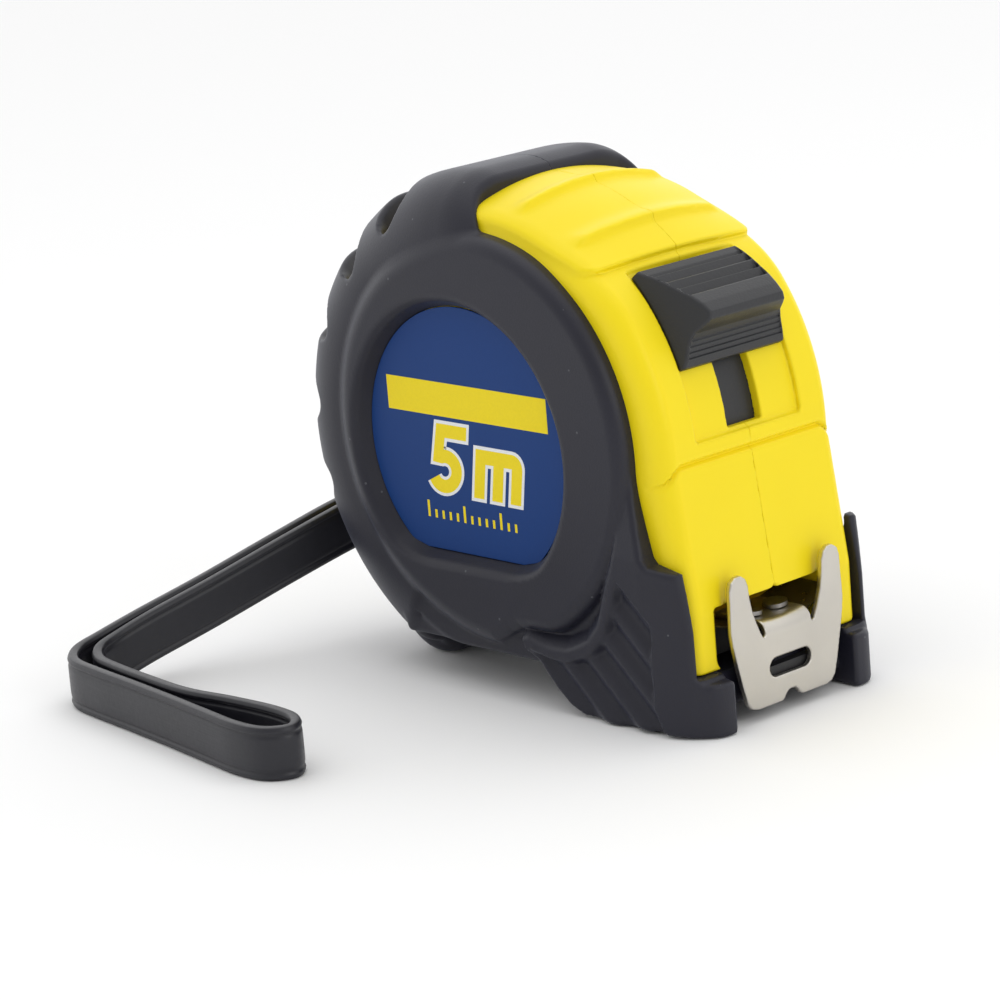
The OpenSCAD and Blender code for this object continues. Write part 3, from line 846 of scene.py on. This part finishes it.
@dataclass
class SoftGrip:
    """Rubber overmould in two halves: round boss, back band with finger windows, foot, floor, front shoe."""

    cell: float = 0.5
    case: CaseShell = field(default_factory=CaseShell)
    skirt_r: float = 34.6
    skirt_half: float = 18.8
    skirt_z: tuple[float, float] = (7.0, 24.0)
    band_front: float = 34.0
    band_swell: float = 7.0
    band_leg: float = 12.0
    band_half: float = 20.6
    opening_half: float = 18.3
    window_half: float = 3.5
    window_end: float = 18.2
    side_y: float = 21.3
    toe_x: float = 44.3
    flute_pitch: float = 4.75
    inner: tuple[float, float] = (12.9, 17.8)
    floor_half: float = 18.4
    foot: Triple = (-25.0, 8.6, 8.6)
    foot_half: float = 9.4
    well_r: float = 2.8
    shoe: Corners = (
        (5.0, 9.6), (8.6, 8.6), (10.6, 7.7), (12.3, 5.9), (14.3, 3.8), (16.8, 1.8), (19.4, 0.5),
        (22.5, 0.1), (28.4, 0.1), (34.4, 0.5), (37.6, 0.4), (42.0, 0.0), (44.3, 0.0), (44.3, 8.1),
        (42.4, 8.3), (41.5, 9.3), (41.4, 16.0), (40.6, 21.0), (39.9, 24.8), (37.2, 25.3), (35.2, 25.7),
        (34.4, 26.6), (33.5, 30.0), (32.4, 34.6), (31.8, 38.5), (27.0, 38.5), (26.0, 30.0),
        (12.0, 16.0), (5.0, 14.0))
    nick_angle: tuple[float, ...] = (-88.0, -80.0, -76.0, -71.0, -63.0, -58.0)
    nick: tuple[float, ...] = (0.0, 1.9, 2.4, 1.9, 0.3, 0.0)
    crest_angle: tuple[float, ...] = (-84.0, -73.0, -67.0, -60.0, -52.0, -46.0, -40.0, -34.0, -25.0, -10.0)
    crest_r: tuple[float, ...] = (29.8, 30.4, 32.5, 34.4, 35.2, 34.7, 33.2, 32.2, 31.5, 30.5)
    crease_z: tuple[float, ...] = (0.0, 1.0, 4.5, 10.2, 17.1, 21.4, 26.0)
    crease_x: tuple[float, ...] = (37.0, 36.2, 35.0, 34.8, 35.3, 30.5, 25.5)

    def round_boss(self, x: Array, y: Array, z: Array) -> Array:
        """Disc on the side, its edge crisp in front and softer to the back, over a low skirt beneath.

        The disc's radius is 31.5 less a nick read from a table by angle, and its edge's rounding grows from
        2.3 to 4.2 between x = 8 and x = -14.
        """
        r = np.hypot(x - LAYOUT.boss[0], z - LAYOUT.boss[1])
        angle = np.degrees(np.arctan2(z - LAYOUT.boss[1], x - LAYOUT.boss[0]))
        reach = LAYOUT.boss_r - np.interp(angle, self.nick_angle, self.nick)
        low, high = self.skirt_z
        skirt = meet(meet(r - self.skirt_r, y - self.skirt_half, 0.5), np.maximum(z - high, low - z), 0.4)
        disc = meet(r - reach, y - LAYOUT.boss_y, 2.3 + 1.9 * ease(8.0, -14.0, x))
        return join(disc, skirt, 0.7)

    def band(self, x: Array, y: Array, z: Array) -> Array:
        """Back band round the drum's axis, with the opening over the thumb pad and the finger windows cut.

        Its reach is 34, swelling by 7 between 64 and 92 degrees, less 12 on the two legs that run under the
        boss. Its outer edge is rounded by 10.5, and by 12.5 at the back, where it is 0.8 narrower.
        """
        r, angle = LAYOUT.from_hub(x, z)
        legs = ease(300.0, 330.0, angle) + 1.0 - ease(5.0, 30.0, angle)
        reach = self.band_front + self.band_swell * ease(64.0, 92.0, angle) - self.band_leg * legs
        back = ease(95.0, 128.0, angle)
        band = meet(r - reach, y - self.band_half + 0.8 * back, 10.5 + 2.0 * back)
        below = np.where(z < LAYOUT.hub[1], 0.891 * (x - LAYOUT.hub[0]) - 0.454 * (z - LAYOUT.hub[1]), -9.0)
        band = meet(band, below, 1.5)
        opening = meet(-x, y - self.opening_half, 4.5)
        band = cut(band, np.maximum(opening, 30.0 - z), 0.9)
        for middle in LAYOUT.groove_angles:
            along = np.radians(angle - middle) * 40.0
            window = meet(np.abs(along) - self.window_half, y - self.window_end, 3.2)
            band = cut(band, np.maximum(window, 30.0 - r), 0.9)
        return band

    def front_shoe(self, x: Array, y: Array, z: Array) -> Array:
        """Front shoe: outline, ledge that runs round the boss, ribbed cheek, front band and toe.

        The cheek's flutes are a cosine of the distance across them, 4.75 apart. The slanted front corner is
        the plane 0.662 (x - 38.2) + 0.749 (y - 21.3) = 0, and the ledge is the slope
        0.76 (crest - r) + 0.65 (y - 21.3) = 0 with the crest's radius read from a table by angle.
        """
        dx, dz = x - LAYOUT.boss[0], z - LAYOUT.boss[1]
        boss_r, boss_angle = np.hypot(dx, dz), np.degrees(np.arctan2(dz, dx))
        crest = np.interp(boss_angle, self.crest_angle, self.crest_r)
        ahead = ease(-0.5, 0.5, x - np.interp(z, self.crease_z, self.crease_x))
        rim = 1.0 - ease(1.4, 2.6, boss_r - crest)
        across = 0.669 * x + 0.743 * z
        cheek = 1.05 - 0.5 * np.cos((across - 36.4) * 2 * np.pi / self.flute_pitch)
        out = self.side_y - (1.0 - np.maximum(ahead, rim)) * cheek - 0.14 * np.maximum(z - 26.5, 0.0)
        side = outline_distance(x, z, self.shoe)
        oblique = (x - 38.2) * 0.662 + (y - self.side_y) * 0.749
        plan = meet(meet(oblique, y - out, 3.0), x - self.toe_x, 1.4)
        body = meet(side, plan, 0.9)
        ledge = (crest - boss_r) * 0.76 + (y - self.side_y) * 0.65
        body = meet(body, ledge, 0.35)
        body = meet(body, 9.4 - x - 0.4 * (z - 7.6), 0.3)
        low, high = self.inner
        return meet(body, np.where(z > 8.9, high - y, low - y), 0.6)

    def under(self, x: Array, y: Array, z: Array) -> Array:
        """Floor under the case, rounded back foot and the web below the mouth."""
        plan = meet(np.abs(x - 1.5) - 22.5, y - self.floor_half, 1.0)
        floor = meet(plan, np.maximum(7.0 - z, z - 10.0), 0.6)
        foot_x, foot_z, foot_r = self.foot
        barrel = np.hypot(x - foot_x, z - foot_z) - foot_r
        foot = meet(meet(barrel, y - self.foot_half, 2.4), z - 16.0, 0.2)
        web = meet(np.abs(x - 34.2) - 6.1, np.maximum(y - 13.6, np.abs(z - 5.9) - 2.9), 0.5)
        return np.minimum(join(floor, foot, 1.0), web)

    def solid(self, x: Array, y: Array, z: Array) -> Array:
        """Left or right half without the screw wells: all parts joined, less the case, label and strap."""
        body = join(self.round_boss(x, y, z), self.band(x, y, z), 0.6)
        body = join(body, self.under(x, y, z), 1.2)
        body = join(body, self.front_shoe(x, y, z), 0.3)
        body = meet(body, -z, 0.4)
        body = np.maximum(body, -(self.case.skin(x, y, z) + 0.8))
        slope = np.clip((y - LAYOUT.seat_y) / 2.8, 0.0, 1.2)
        window = np.maximum(LAYOUT.label_shape(x, z, 1.5 * slope), 16.0 - y)
        body = cut(body, window, 0.9)
        slot = np.maximum(np.maximum(y - 3.8, np.abs(z - 20.0) - 4.7), x + 29.6)
        body = cut(body, slot, 0.6)
        return meet(body, -y, 0.03)

    def solid_right(self, x: Array, y: Array, z: Array) -> Array:
        """Right half with the wells that the screws are driven through."""
        body = self.solid(x, y, z)
        for px, pz in LAYOUT.screws:
            body = cut(body, np.maximum(np.hypot(x - px, z - pz) - self.well_r, 15.0 - y), 0.5)
        return body

    def build(self, palette: Palette) -> None:
        """Builds and dresses both halves."""
        size = self.cell * 1.0
        across = steps(-0.5, 22.0, size, [(-0.2, 0.2, 0.05), (17.2, 18.6, 0.25)])
        axes = (steps(-45.2, 45.4, size, [(40.6, 42.0, 0.25)]), across, steps(-0.8, 80.4, size))
        for side, solid in (("left", self.solid), ("right", self.solid_right)):
            obj = put_solid(f"grip_half_{side}", solid, axes, mirror=side == "left")
            palette.dress(obj, "grip_rubber")
            hand_over(obj, Body.CASE, Slot.GRIP, f"grip_{side}")


# ------------------------------------------------------------------ lock


@dataclass
class LockButton:
    """Thumb button: a wedge with grip steps on both faces and ends that lean in."""

    cell: float = 0.26
    foot_r: float = 36.8
    arc_r: float = 39.0
    half_width: float = 10.8
    end_lean: float = 0.44
    step_depth: float = 0.8
    profile: Corners = (
        (45.3, 0.0), (45.3, 1.5), (43.4, 1.9), (42.2, 1.9), (42.0, 2.9), (39.6, 2.9), (39.4, 3.9),
        (37.0, 3.9), (36.8, 4.9), (34.6, 4.9), (34.4, 6.0), (31.8, 7.0), (29.6, 7.6), (28.3, 7.1),
        (27.8, 6.0), (27.2, 4.2), (26.2, 3.0), (26.0, 3.2), (25.2, 2.5), (25.0, 2.7), (24.1, 2.1),
        (23.9, 2.3), (23.0, 1.7), (22.8, 1.9), (21.2, 1.2), (21.0, 0.0))
    wedge: Corners = (
        (45.3, 0.0), (45.3, 1.5), (42.0, 2.9), (39.4, 3.9), (36.8, 4.9), (34.4, 6.0), (31.8, 7.0),
        (29.6, 7.6), (28.3, 7.1), (27.8, 6.0), (27.2, 4.2), (26.0, 3.3), (25.0, 2.8), (23.9, 2.4),
        (22.8, 2.0), (21.2, 1.2), (21.0, 0.0))

    def solid(self, x: Array, y: Array, z: Array) -> Array:
        """Profile in (angle, height over the foot) taken round the front centre, narrowed as it rises.

        The stepped profile fades into the plain wedge just inside the ends.
        """
        r, angle = LAYOUT.from_front(x, z)
        rise = r - self.foot_r
        arc = np.radians(angle) * self.arc_r
        stepped, wedge = (outline_distance(arc, rise, [(math.radians(a) * self.arc_r, h) for a, h in rows])
                          for rows in (self.profile, self.wedge))
        limit = self.half_width - self.end_lean * np.maximum(rise - 0.6, 0.0)
        side = np.maximum(wedge, stepped - self.step_depth * ease(-0.5, -0.1, np.abs(y) - limit))
        return meet(side, (np.abs(y) - limit) * 0.92, 0.35)

    def build(self, palette: Palette) -> None:
        """Builds and dresses the button."""
        size = self.cell * 1.0
        axes = (steps(24.5, 43.5, size), steps(-11.4, 11.4, size), steps(51.0, 69.5, size))
        obj = put_solid("lock_thumb_button", self.solid, axes)
        palette.dress(obj, "lock_black")
        hand_over(obj, Body.LOCK, Slot.BLACK, "lock_button")


# ------------------------------------------------------------------ hook


@dataclass
class TapeHook:
    """Pressed steel end hook: plate with two prongs, and a tab bent back along the tape's curve."""

    cell: float = 0.24
    back_x: float = 42.0
    gauge: float = 1.0
    slot: Triple = (3.0, 7.35, 1.45)
    hole: Triple = (37.3, 2.9, 1.1)
    tab_r: float = 31.4
    curve_z: float = 45.25
    tab_half: float = 4.9
    bend: float = 1.5
    half: Corners = (
        (2.2, 1.9), (7.4, 1.9), (8.6, 2.25), (9.4, 3.1), (10.1, 5.4), (11.0, 9.0), (11.75, 12.6),
        (11.95, 14.4), (11.9, 16.6), (11.8, 18.8), (11.72, 21.0), (11.35, 22.1), (10.4, 22.75),
        (9.3, 22.75), (8.4, 22.1), (7.95, 21.0), (7.75, 19.0), (7.3, 16.8), (6.6, 14.9), (5.95, 13.4),
        (5.5, 12.6), (5.2, 12.4), (4.95, 12.7), (4.9, 13.6), (4.9, 15.2))

    def solid(self, x: Array, y: Array, z: Array) -> Array:
        """Plate outline thickened, joined to a bent strip by a rounded bend, less the slot and the holes.

        The tab is a strip of the tube of radius 31.4 about an axis along X, which is the tape's own curve.
        The bend is the circle of radius 1.5 that touches that tube and the plate.
        """
        ay = np.abs(y)
        outline = [(0.0, 3.3), (0.75, 3.25), (1.35, 2.75), (1.65, 2.3)] + list(self.half) + [(0.0, 14.8)]
        face = outline_distance(ay, z, outline)
        face = np.where(ay < 0.6, np.maximum(3.3 - z, z - 14.8), face)
        slot_half, slot_z, slot_r = self.slot
        nail = np.hypot(np.maximum(ay - slot_half, 0.0), z - slot_z) - slot_r
        face = np.maximum(face, -nail)
        mid = self.back_x + self.gauge / 2
        shell = np.hypot(y, z - self.curve_z) - self.tab_r
        near, far = x - (mid - self.bend), self.bend - shell
        corner = np.hypot(np.maximum(near, 0.0), np.maximum(far, 0.0)) - self.bend
        sheet = np.abs(np.where(near > 0, np.where(far > 0, corner, x - mid), shell)) - self.gauge / 2
        tab = meet(meet(sheet, ay - self.tab_half, 0.25), 31.6 + 0.045 * ay * ay - x, 0.25)
        tab = np.maximum(tab, 10.5 - z)
        hole_x, hole_y, hole_r = self.hole
        slide = np.hypot(np.maximum(np.abs(x - hole_x) - self.gauge / 2, 0.0), ay - hole_y) - hole_r
        tab = cut(tab, np.maximum(slide, x - 40.0), 0.1)
        plate = meet(face, np.abs(x - mid) - self.gauge / 2, 0.22)
        plate = np.maximum(plate, -np.maximum(ay - self.tab_half, shell - self.bend))
        return np.minimum(plate, tab)

    def build(self, palette: Palette) -> None:
        """Builds and dresses the hook."""
        size = self.cell * 1.0
        axes = (steps(31.0, 43.6, size), steps(-12.5, 12.5, size), steps(1.3, 25.2, size))
        obj = put_solid("hook_pressing", self.solid, axes)
        palette.dress(obj, "hook_nickel")
        hand_over(obj, Body.HOOK, Slot.HOOK, "end_hook")


# ------------------------------------------------------------------ label


@dataclass
class SideLabel:
    """Printed D on each side: a plain bar, the size figure and a row of ticks, as thin raised ink."""

    thickness: float = 0.3
    ink: float = 0.05
    band: tuple[float, float, float, float] = (-17.0, 18.0, 4.0, 9.3)
    tick_step: float = 1.6
    ticks: int = 13
    edge: float = 0.42

    def d_outline(self) -> Array:
        """Outline of the D, just inside its window: arc about the drum's axis closed by a rounded chord."""
        r, flat = LAYOUT.window_r - 0.06, LAYOUT.window_flat + 0.06 - LAYOUT.hub[1]
        low = math.degrees(math.asin(flat / r))
        arc = np.radians(np.linspace(low + 3.5, 180.0 - low - 3.5, 160))
        points = np.c_[r * np.cos(arc), r * np.sin(arc)]
        knee = r * math.cos(math.radians(low)) - 2.2
        chord = [[-knee - 0.9, flat + 0.25], [-knee, flat], [knee, flat], [knee + 0.9, flat + 0.25]]
        return np.r_[points, chord]

    def figure_five(self, grow: float) -> list[Array]:
        """A plain five: top bar, stem and open bowl, its edges moved out by grow.

        The bowl is an arc from 118 to -150 degrees between radii 1.15 and 3, its height squeezed to 0.92.
        """
        bowl = np.radians(np.linspace(118.0, -150.0, 28))
        cx, cz, ro, ri = 2.55, 2.65, 3.0 + grow, 1.15 - grow
        outer = np.c_[cx + ro * np.cos(bowl), cz + ro * 0.92 * np.sin(bowl)]
        inner = np.c_[cx + ri * np.cos(bowl), cz + ri * 0.92 * np.sin(bowl)][::-1]
        top = [[6.1 + grow, 8.6 + grow], [6.1 + grow, 6.9 - grow], [2.3 + grow, 6.9 - grow],
               [2.2 + grow, 5.1 + grow * 0.4]]
        left = [[0.35 - grow, 3.7 - grow], [0.75 - grow, 8.6 + grow]]
        return [np.r_[left[::-1][:1], top, outer[2:], inner, left[:1]]]

    def figure_m(self, grow: float) -> list[Array]:
        """A plain m: three stems under a rounded shoulder."""
        g = grow
        right = np.radians(np.linspace(0.0, 90.0, 8))
        shoulder = np.c_[6.3 + (1.9 + g) * np.cos(right), 4.3 + (1.9 + g) * np.sin(right)]
        body = [[-g, -g], [1.8 + g, -g], [1.8 + g, 4.4 - g], [3.2 - g, 4.4 - g], [3.2 - g, -g],
                [5.0 + g, -g], [5.0 + g, 4.4 - g], [6.4 - g, 4.4 - g], [6.4 - g, -g], [8.2 + g, -g]]
        return [np.array(body + shoulder.tolist() + [[-g, 6.2 + g]])]

    def bar(self, u0: float, u1: float, v0: float, v1: float) -> Array:
        """Upright rectangle."""
        return np.array([[u0, v0], [u1, v0], [u1, v1], [u0, v1]])

    def build(self, palette: Palette) -> None:
        """Builds both labels with their print; each reads the right way round from its own side."""
        lean = Matrix(((1.25, 0.2, 0, 0), (0, 1.25, 0, 0), (0, 0, 1, 0), (0, 0, 0, 1)))
        x, z = LAYOUT.hub
        for name, turn in (("left", 0.0), ("right", math.pi)):
            sign = -1.0 if name == "left" else 1.0
            stand = Matrix.Rotation(turn, 4, "Z") @ Matrix.Rotation(math.pi / 2, 4, "X")

            def at(level: float, u: float, v: float, tilt: Matrix = Matrix()) -> Matrix:
                """Place of print at (u, v) on the label, its middle at that height over Y = 0."""
                spot = Matrix.Translation((u, v, 0)) @ tilt
                return Matrix.Translation((x, sign * level, z)) @ stand @ spot

            plate = put_outline(f"label_plate_{name}", [self.d_outline()], self.thickness, 0.06,
                                at(LAYOUT.seat_y + self.thickness / 2, 0, 0))
            palette.dress(plate, "label_blue")
            hand_over(plate, Body.CASE, Slot.LABEL, f"label_{name}")
            face = LAYOUT.seat_y + self.thickness
            rows = [("bar", "print_yellow", [self.bar(*self.band)], 0.0, (0, 0), Matrix())]
            ticks = [self.bar(-10 + self.tick_step * n, -9.5 + self.tick_step * n, -12.2,
                              -10.9 if n % 5 else -9.6) for n in range(self.ticks)]
            rows.append(("ticks", "print_yellow", ticks, 0.0, (0, 0), Matrix()))
            for key, finish, grow, lift in (("figure_edge", "print_white", self.edge, 0.0),
                                            ("figure", "print_yellow", 0.0, 0.025)):
                rows.append((key + "_five", finish, self.figure_five(grow), lift, (-9.1, -7.9), lean))
                rows.append((key + "_metre", finish, self.figure_m(grow), lift, (0.7, -7.9), lean))
            for key, finish, outlines, lift, (u, v), tilt in rows:
                place = at(face + lift, u, v, tilt)
                obj = put_outline(f"print_{key}_{name}", outlines, self.ink, 0.01, place, resolution=1)
                palette.dress(obj, finish)
                hand_over(obj, Body.CASE, Slot.LABEL)


# ------------------------------------------------------------------ strap


@dataclass
class WristStrap:
    """Flat vinyl loop: its section is carried along the route, its width kept upright."""

    width: float = 8.0
    thickness: float = 1.8
    route: tuple[Triple, ...] = (
        (-30.5, 1.5, 20), (-36, 1.5, 20), (-41.5, 1.1, 19.8), (-45, -2.5, 19.4), (-46.6, -9, 18.4),
        (-49.4, -20, 15), (-53, -33, 10.6), (-55.6, -44, 7.4), (-57, -50.5, 5.4), (-56.6, -55.5, 4.4),
        (-52.5, -59.3, 4.1), (-45.4, -60.8, 4.1), (-36, -62, 4.1), (-24.6, -63.6, 4.1),
        (-13.2, -65.4, 4.1), (-5, -66.6, 4.1), (0.6, -66, 4.1), (3, -62.8, 4.1), (0, -59.6, 4.1),
        (-6, -58.6, 4.1), (-15, -59, 4.1), (-24.6, -60, 4.1), (-36, -58.9, 4.1), (-44.4, -57.7, 4.1),
        (-50, -56.3, 4.1), (-53.4, -53.6, 4.6), (-54, -49.5, 5.6), (-52.8, -43.5, 7.6),
        (-50.1, -33, 10.8), (-46.5, -20, 15.2), (-43.7, -9.5, 18.5), (-42.8, -4.9, 19.4),
        (-40.6, -1.8, 19.9), (-36, -1.5, 20), (-30.5, -1.5, 20))

    def line(self, parts: int) -> Array:
        """Catmull-Rom curve through the route.

        Between p1 and p2 it is half of 2 p1 + (p2 - p0) t + (2 p0 - 5 p1 + 4 p2 - p3) t^2
        + (3 p1 - p0 - 3 p2 + p3) t^3.
        """
        p = np.array(self.route, float)
        p = np.r_[p[:1], p, p[-1:]]
        t = np.linspace(0, 1, parts, endpoint=False)[None, :, None]
        a, b, c, d = (p[n:len(p) - 3 + n, None, :] for n in range(4))
        bends = (2 * a - 5 * b + 4 * c - d) * t ** 2
        rows = 0.5 * (2 * b + (c - a) * t + bends + (3 * b - a - 3 * c + d) * t ** 3)
        return np.r_[rows.reshape(-1, 3), p[-1:]]

    def section(self, count: int = 56) -> Array:
        """Section as (across the thickness, up the width).

        Round the angle a, the width follows sin a and the thickness cos a, both flattened by a power below
        one. A groove 0.28 deep runs 1.15 from each edge, with a raised bead outside it.
        """
        a = np.linspace(0, 2 * np.pi, count, endpoint=False)
        w = self.width / 2 * np.sign(np.sin(a)) * np.abs(np.sin(a)) ** 0.72
        h = self.thickness / 2 * np.sign(np.cos(a)) * np.abs(np.cos(a)) ** 0.22
        off = np.abs(w) - (self.width / 2 - 1.15)
        groove = 0.28 * np.exp(-(off / 0.22) ** 2) - 0.1 * np.exp(-((off - 0.5) / 0.25) ** 2)
        return np.c_[h - np.sign(h) * np.minimum(groove, np.abs(h) * 0.8), w]

    def build(self, palette: Palette) -> None:
        """Carries the section along the line, caps both ends, and lays U along and V round it."""
        path = self.line(6)
        run = np.gradient(path, axis=0)
        run /= np.linalg.norm(run, axis=1)[:, None]
        side = np.c_[-run[:, 1], run[:, 0], np.zeros(len(run))]
        side /= np.linalg.norm(side, axis=1)[:, None]
        up = np.array([0.0, 0.0, 1.0]) * np.ones((len(run), 1))
        section = self.section()
        rings, sides = len(path), len(section)
        points = (path[:, None] + side[:, None] * section[None, :, :1] + up[:, None] * section[None, :, 1:])
        points = np.r_[points.reshape(-1, 3), path[:1], path[-1:]]
        k, j = np.meshgrid(np.arange(rings - 1), np.arange(sides), indexing="ij")
        nj = (j + 1) % sides
        here, there = k * sides, (k + 1) * sides
        quads = np.stack([here + j, here + nj, there + nj, there + j], -1).reshape(-1, 4)
        j = np.arange(0, sides, 2)
        first = np.stack([np.full_like(j, rings * sides), (j + 2) % sides, j + 1, j], -1)
        base = (rings - 1) * sides
        tip = np.full_like(j, rings * sides + 1)
        last = np.stack([tip, base + j, base + j + 1, base + (j + 2) % sides], -1)
        obj = put_mesh("wrist_strap_band", points, np.r_[quads, first, last])
        length = np.r_[0, np.cumsum(np.linalg.norm(np.diff(path, axis=0), axis=1))]
        layer = obj.data.uv_layers.new(name="along")
        index = np.zeros(len(obj.data.loops), np.int32)
        obj.data.loops.foreach_get("vertex_index", index)
        ring, spot = np.minimum(index // sides, rings - 1), index % sides
        layer.data.foreach_set("uv", np.c_[length[ring] / 100.0, np.abs(spot / sides - 0.5)].ravel())
        palette.dress(obj, "strap_black")
        hand_over(obj, Body.CASE, Slot.STRAP, "wrist_strap")


# ------------------------------------------------------------------ stage


@dataclass
class Studio:
    """Camera, pale floor and soft lights."""

    azimuth: float = 47.74
    elevation: float = 14.40
    roll: float = -4.73
    distance: float = 0.624
    lens: float = 146.88
    aim: Triple = (-0.00712, -0.00943, 0.02754)
    sky_span: tuple[float, float, float, float] = (-0.7, 0.8, 0.58, 1.46)

    def camera(self) -> None:
        """Places the camera on a sphere round its aim: back = (sin a cos e, -cos a cos e, sin e)."""
        a, e, roll = (math.radians(v) for v in (self.azimuth, self.elevation, self.roll))
        back = Vector((math.sin(a) * math.cos(e), -math.cos(a) * math.cos(e), math.sin(e)))
        right = Vector((math.cos(a), math.sin(a), 0.0))
        up = back.cross(right)
        across = right * math.cos(roll) + up * math.sin(roll)
        turned = (across, up * math.cos(roll) - right * math.sin(roll), back)
        data = bpy.data.cameras.new("view")
        data.lens = self.lens
        data.sensor_width = 36.0
        data.clip_start = 0.01
        obj = bpy.data.objects.new("view", data)
        obj.matrix_world = Matrix.LocRotScale(Vector(self.aim) + back * self.distance,
                                              Matrix(turned).transposed(), None)
        bpy.context.scene.collection.objects.link(obj)
        bpy.context.scene.camera = obj

    def light(self, name: str, place: Triple, power: float, size: float) -> None:
        """A square soft light that faces the tape measure."""
        data = bpy.data.lights.new(name, "AREA")
        data.energy = power
        data.size = size
        obj = bpy.data.objects.new(name, data)
        obj.location = place
        obj.rotation_euler = (Vector(place) - Vector((0, 0, 0.04))).to_track_quat("Z", "Y").to_euler()
        bpy.context.scene.collection.objects.link(obj)

    def build(self) -> None:
        """Builds the floor, the sky light and the lamps."""
        corners = np.array([[-4, -4, 0], [4, -4, 0], [4, 4, 0], [-4, 4, 0.0]]) / MM
        floor = put_mesh("floor", corners, np.array([[0, 1, 2, 3]]))
        g = Graph("floor_paper")
        cloud = g.noise(0.002, 2.0)
        paper = g.mix(cloud, (0.93, 0.93, 0.93), (0.91, 0.91, 0.91))
        finish = g.finish({"Base Color": paper, "Roughness": 0.9, "Specular IOR Level": 0.1})
        floor.data.materials.append(finish)
        bpy.context.scene.view_settings.view_transform = "Standard"
        self.sky()
        self.light("soft_top", (0.05, -0.1, 0.75), 0.8, 0.7)
        self.light("soft_front", (0.75, -0.05, 0.35), 1.0, 0.4)

    def sky(self) -> None:
        """Sky light that brightens evenly across the room, along a level direction from front to back.

        The strength goes from 0.58 to 1.46 while the dot product with that line goes from -0.7 to 0.8.
        """
        world = bpy.data.worlds.new("sky")
        bpy.context.scene.world = world
        world.use_nodes = True
        tree = world.node_tree
        where = tree.nodes.new("ShaderNodeTexCoord")
        dot = tree.nodes.new("ShaderNodeVectorMath")
        dot.operation = "DOT_PRODUCT"
        dot.inputs[1].default_value = (-0.74, 0.67, 0.0)
        tree.links.new(where.outputs["Generated"], dot.inputs[0])
        tree.nodes["Background"].inputs["Color"].default_value = (1, 1, 1, 1)
        span = tree.nodes.new("ShaderNodeMapRange")
        for key, value in zip(("From Min", "From Max", "To Min", "To Max"), self.sky_span):
            span.inputs[key].default_value = value
        tree.links.new(dot.outputs["Value"], span.inputs["Value"])
        tree.links.new(span.outputs["Result"], tree.nodes["Background"].inputs["Strength"])


def dress_frame(frame: dict, palette: Palette) -> None:
    """Gives every CAD node that still shows its finish."""
    # The hook_rivets node gets darkened metal, a painted shade for the shadow inside the mouth.
    finishes = {"center_post": "plated_bright", "mainspring": "spring_blue", "drum": "drum_ivory",
                "drum_cover": "drum_ivory", "wound_tape": "tape_paint", "side_washers": "slip_white",
                "tape_blade": "tape_paint", "hook_rivets": "rivet_painted_shade", "mouth_bumper": "plain_black",
                "blade_guide": "plain_black", "brake_strip": "lock_black", "brake_pad": "plain_black",
                "case_screws": "plated_bright", "strap_pin": "plated_bright"}
    for node, finish in finishes.items():
        palette.dress(frame["nodes"][node], finish)
        LOG.info("%s: CAD node in %s", node, finish)


def main() -> None:
    """Builds the whole tape measure."""
    logging.basicConfig(level=logging.INFO)
    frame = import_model()
    studio = Studio()
    studio.camera()
    palette = Palette()
    palette.build()
    WristStrap().build(palette)
    CaseShell().build(palette)
    SoftGrip().build(palette)
    SideLabel().build(palette)
    LockButton().build(palette)
    TapeHook().build(palette)
    dress_frame(frame, palette)
    studio.build()


if __name__ == "__main__":
    main()
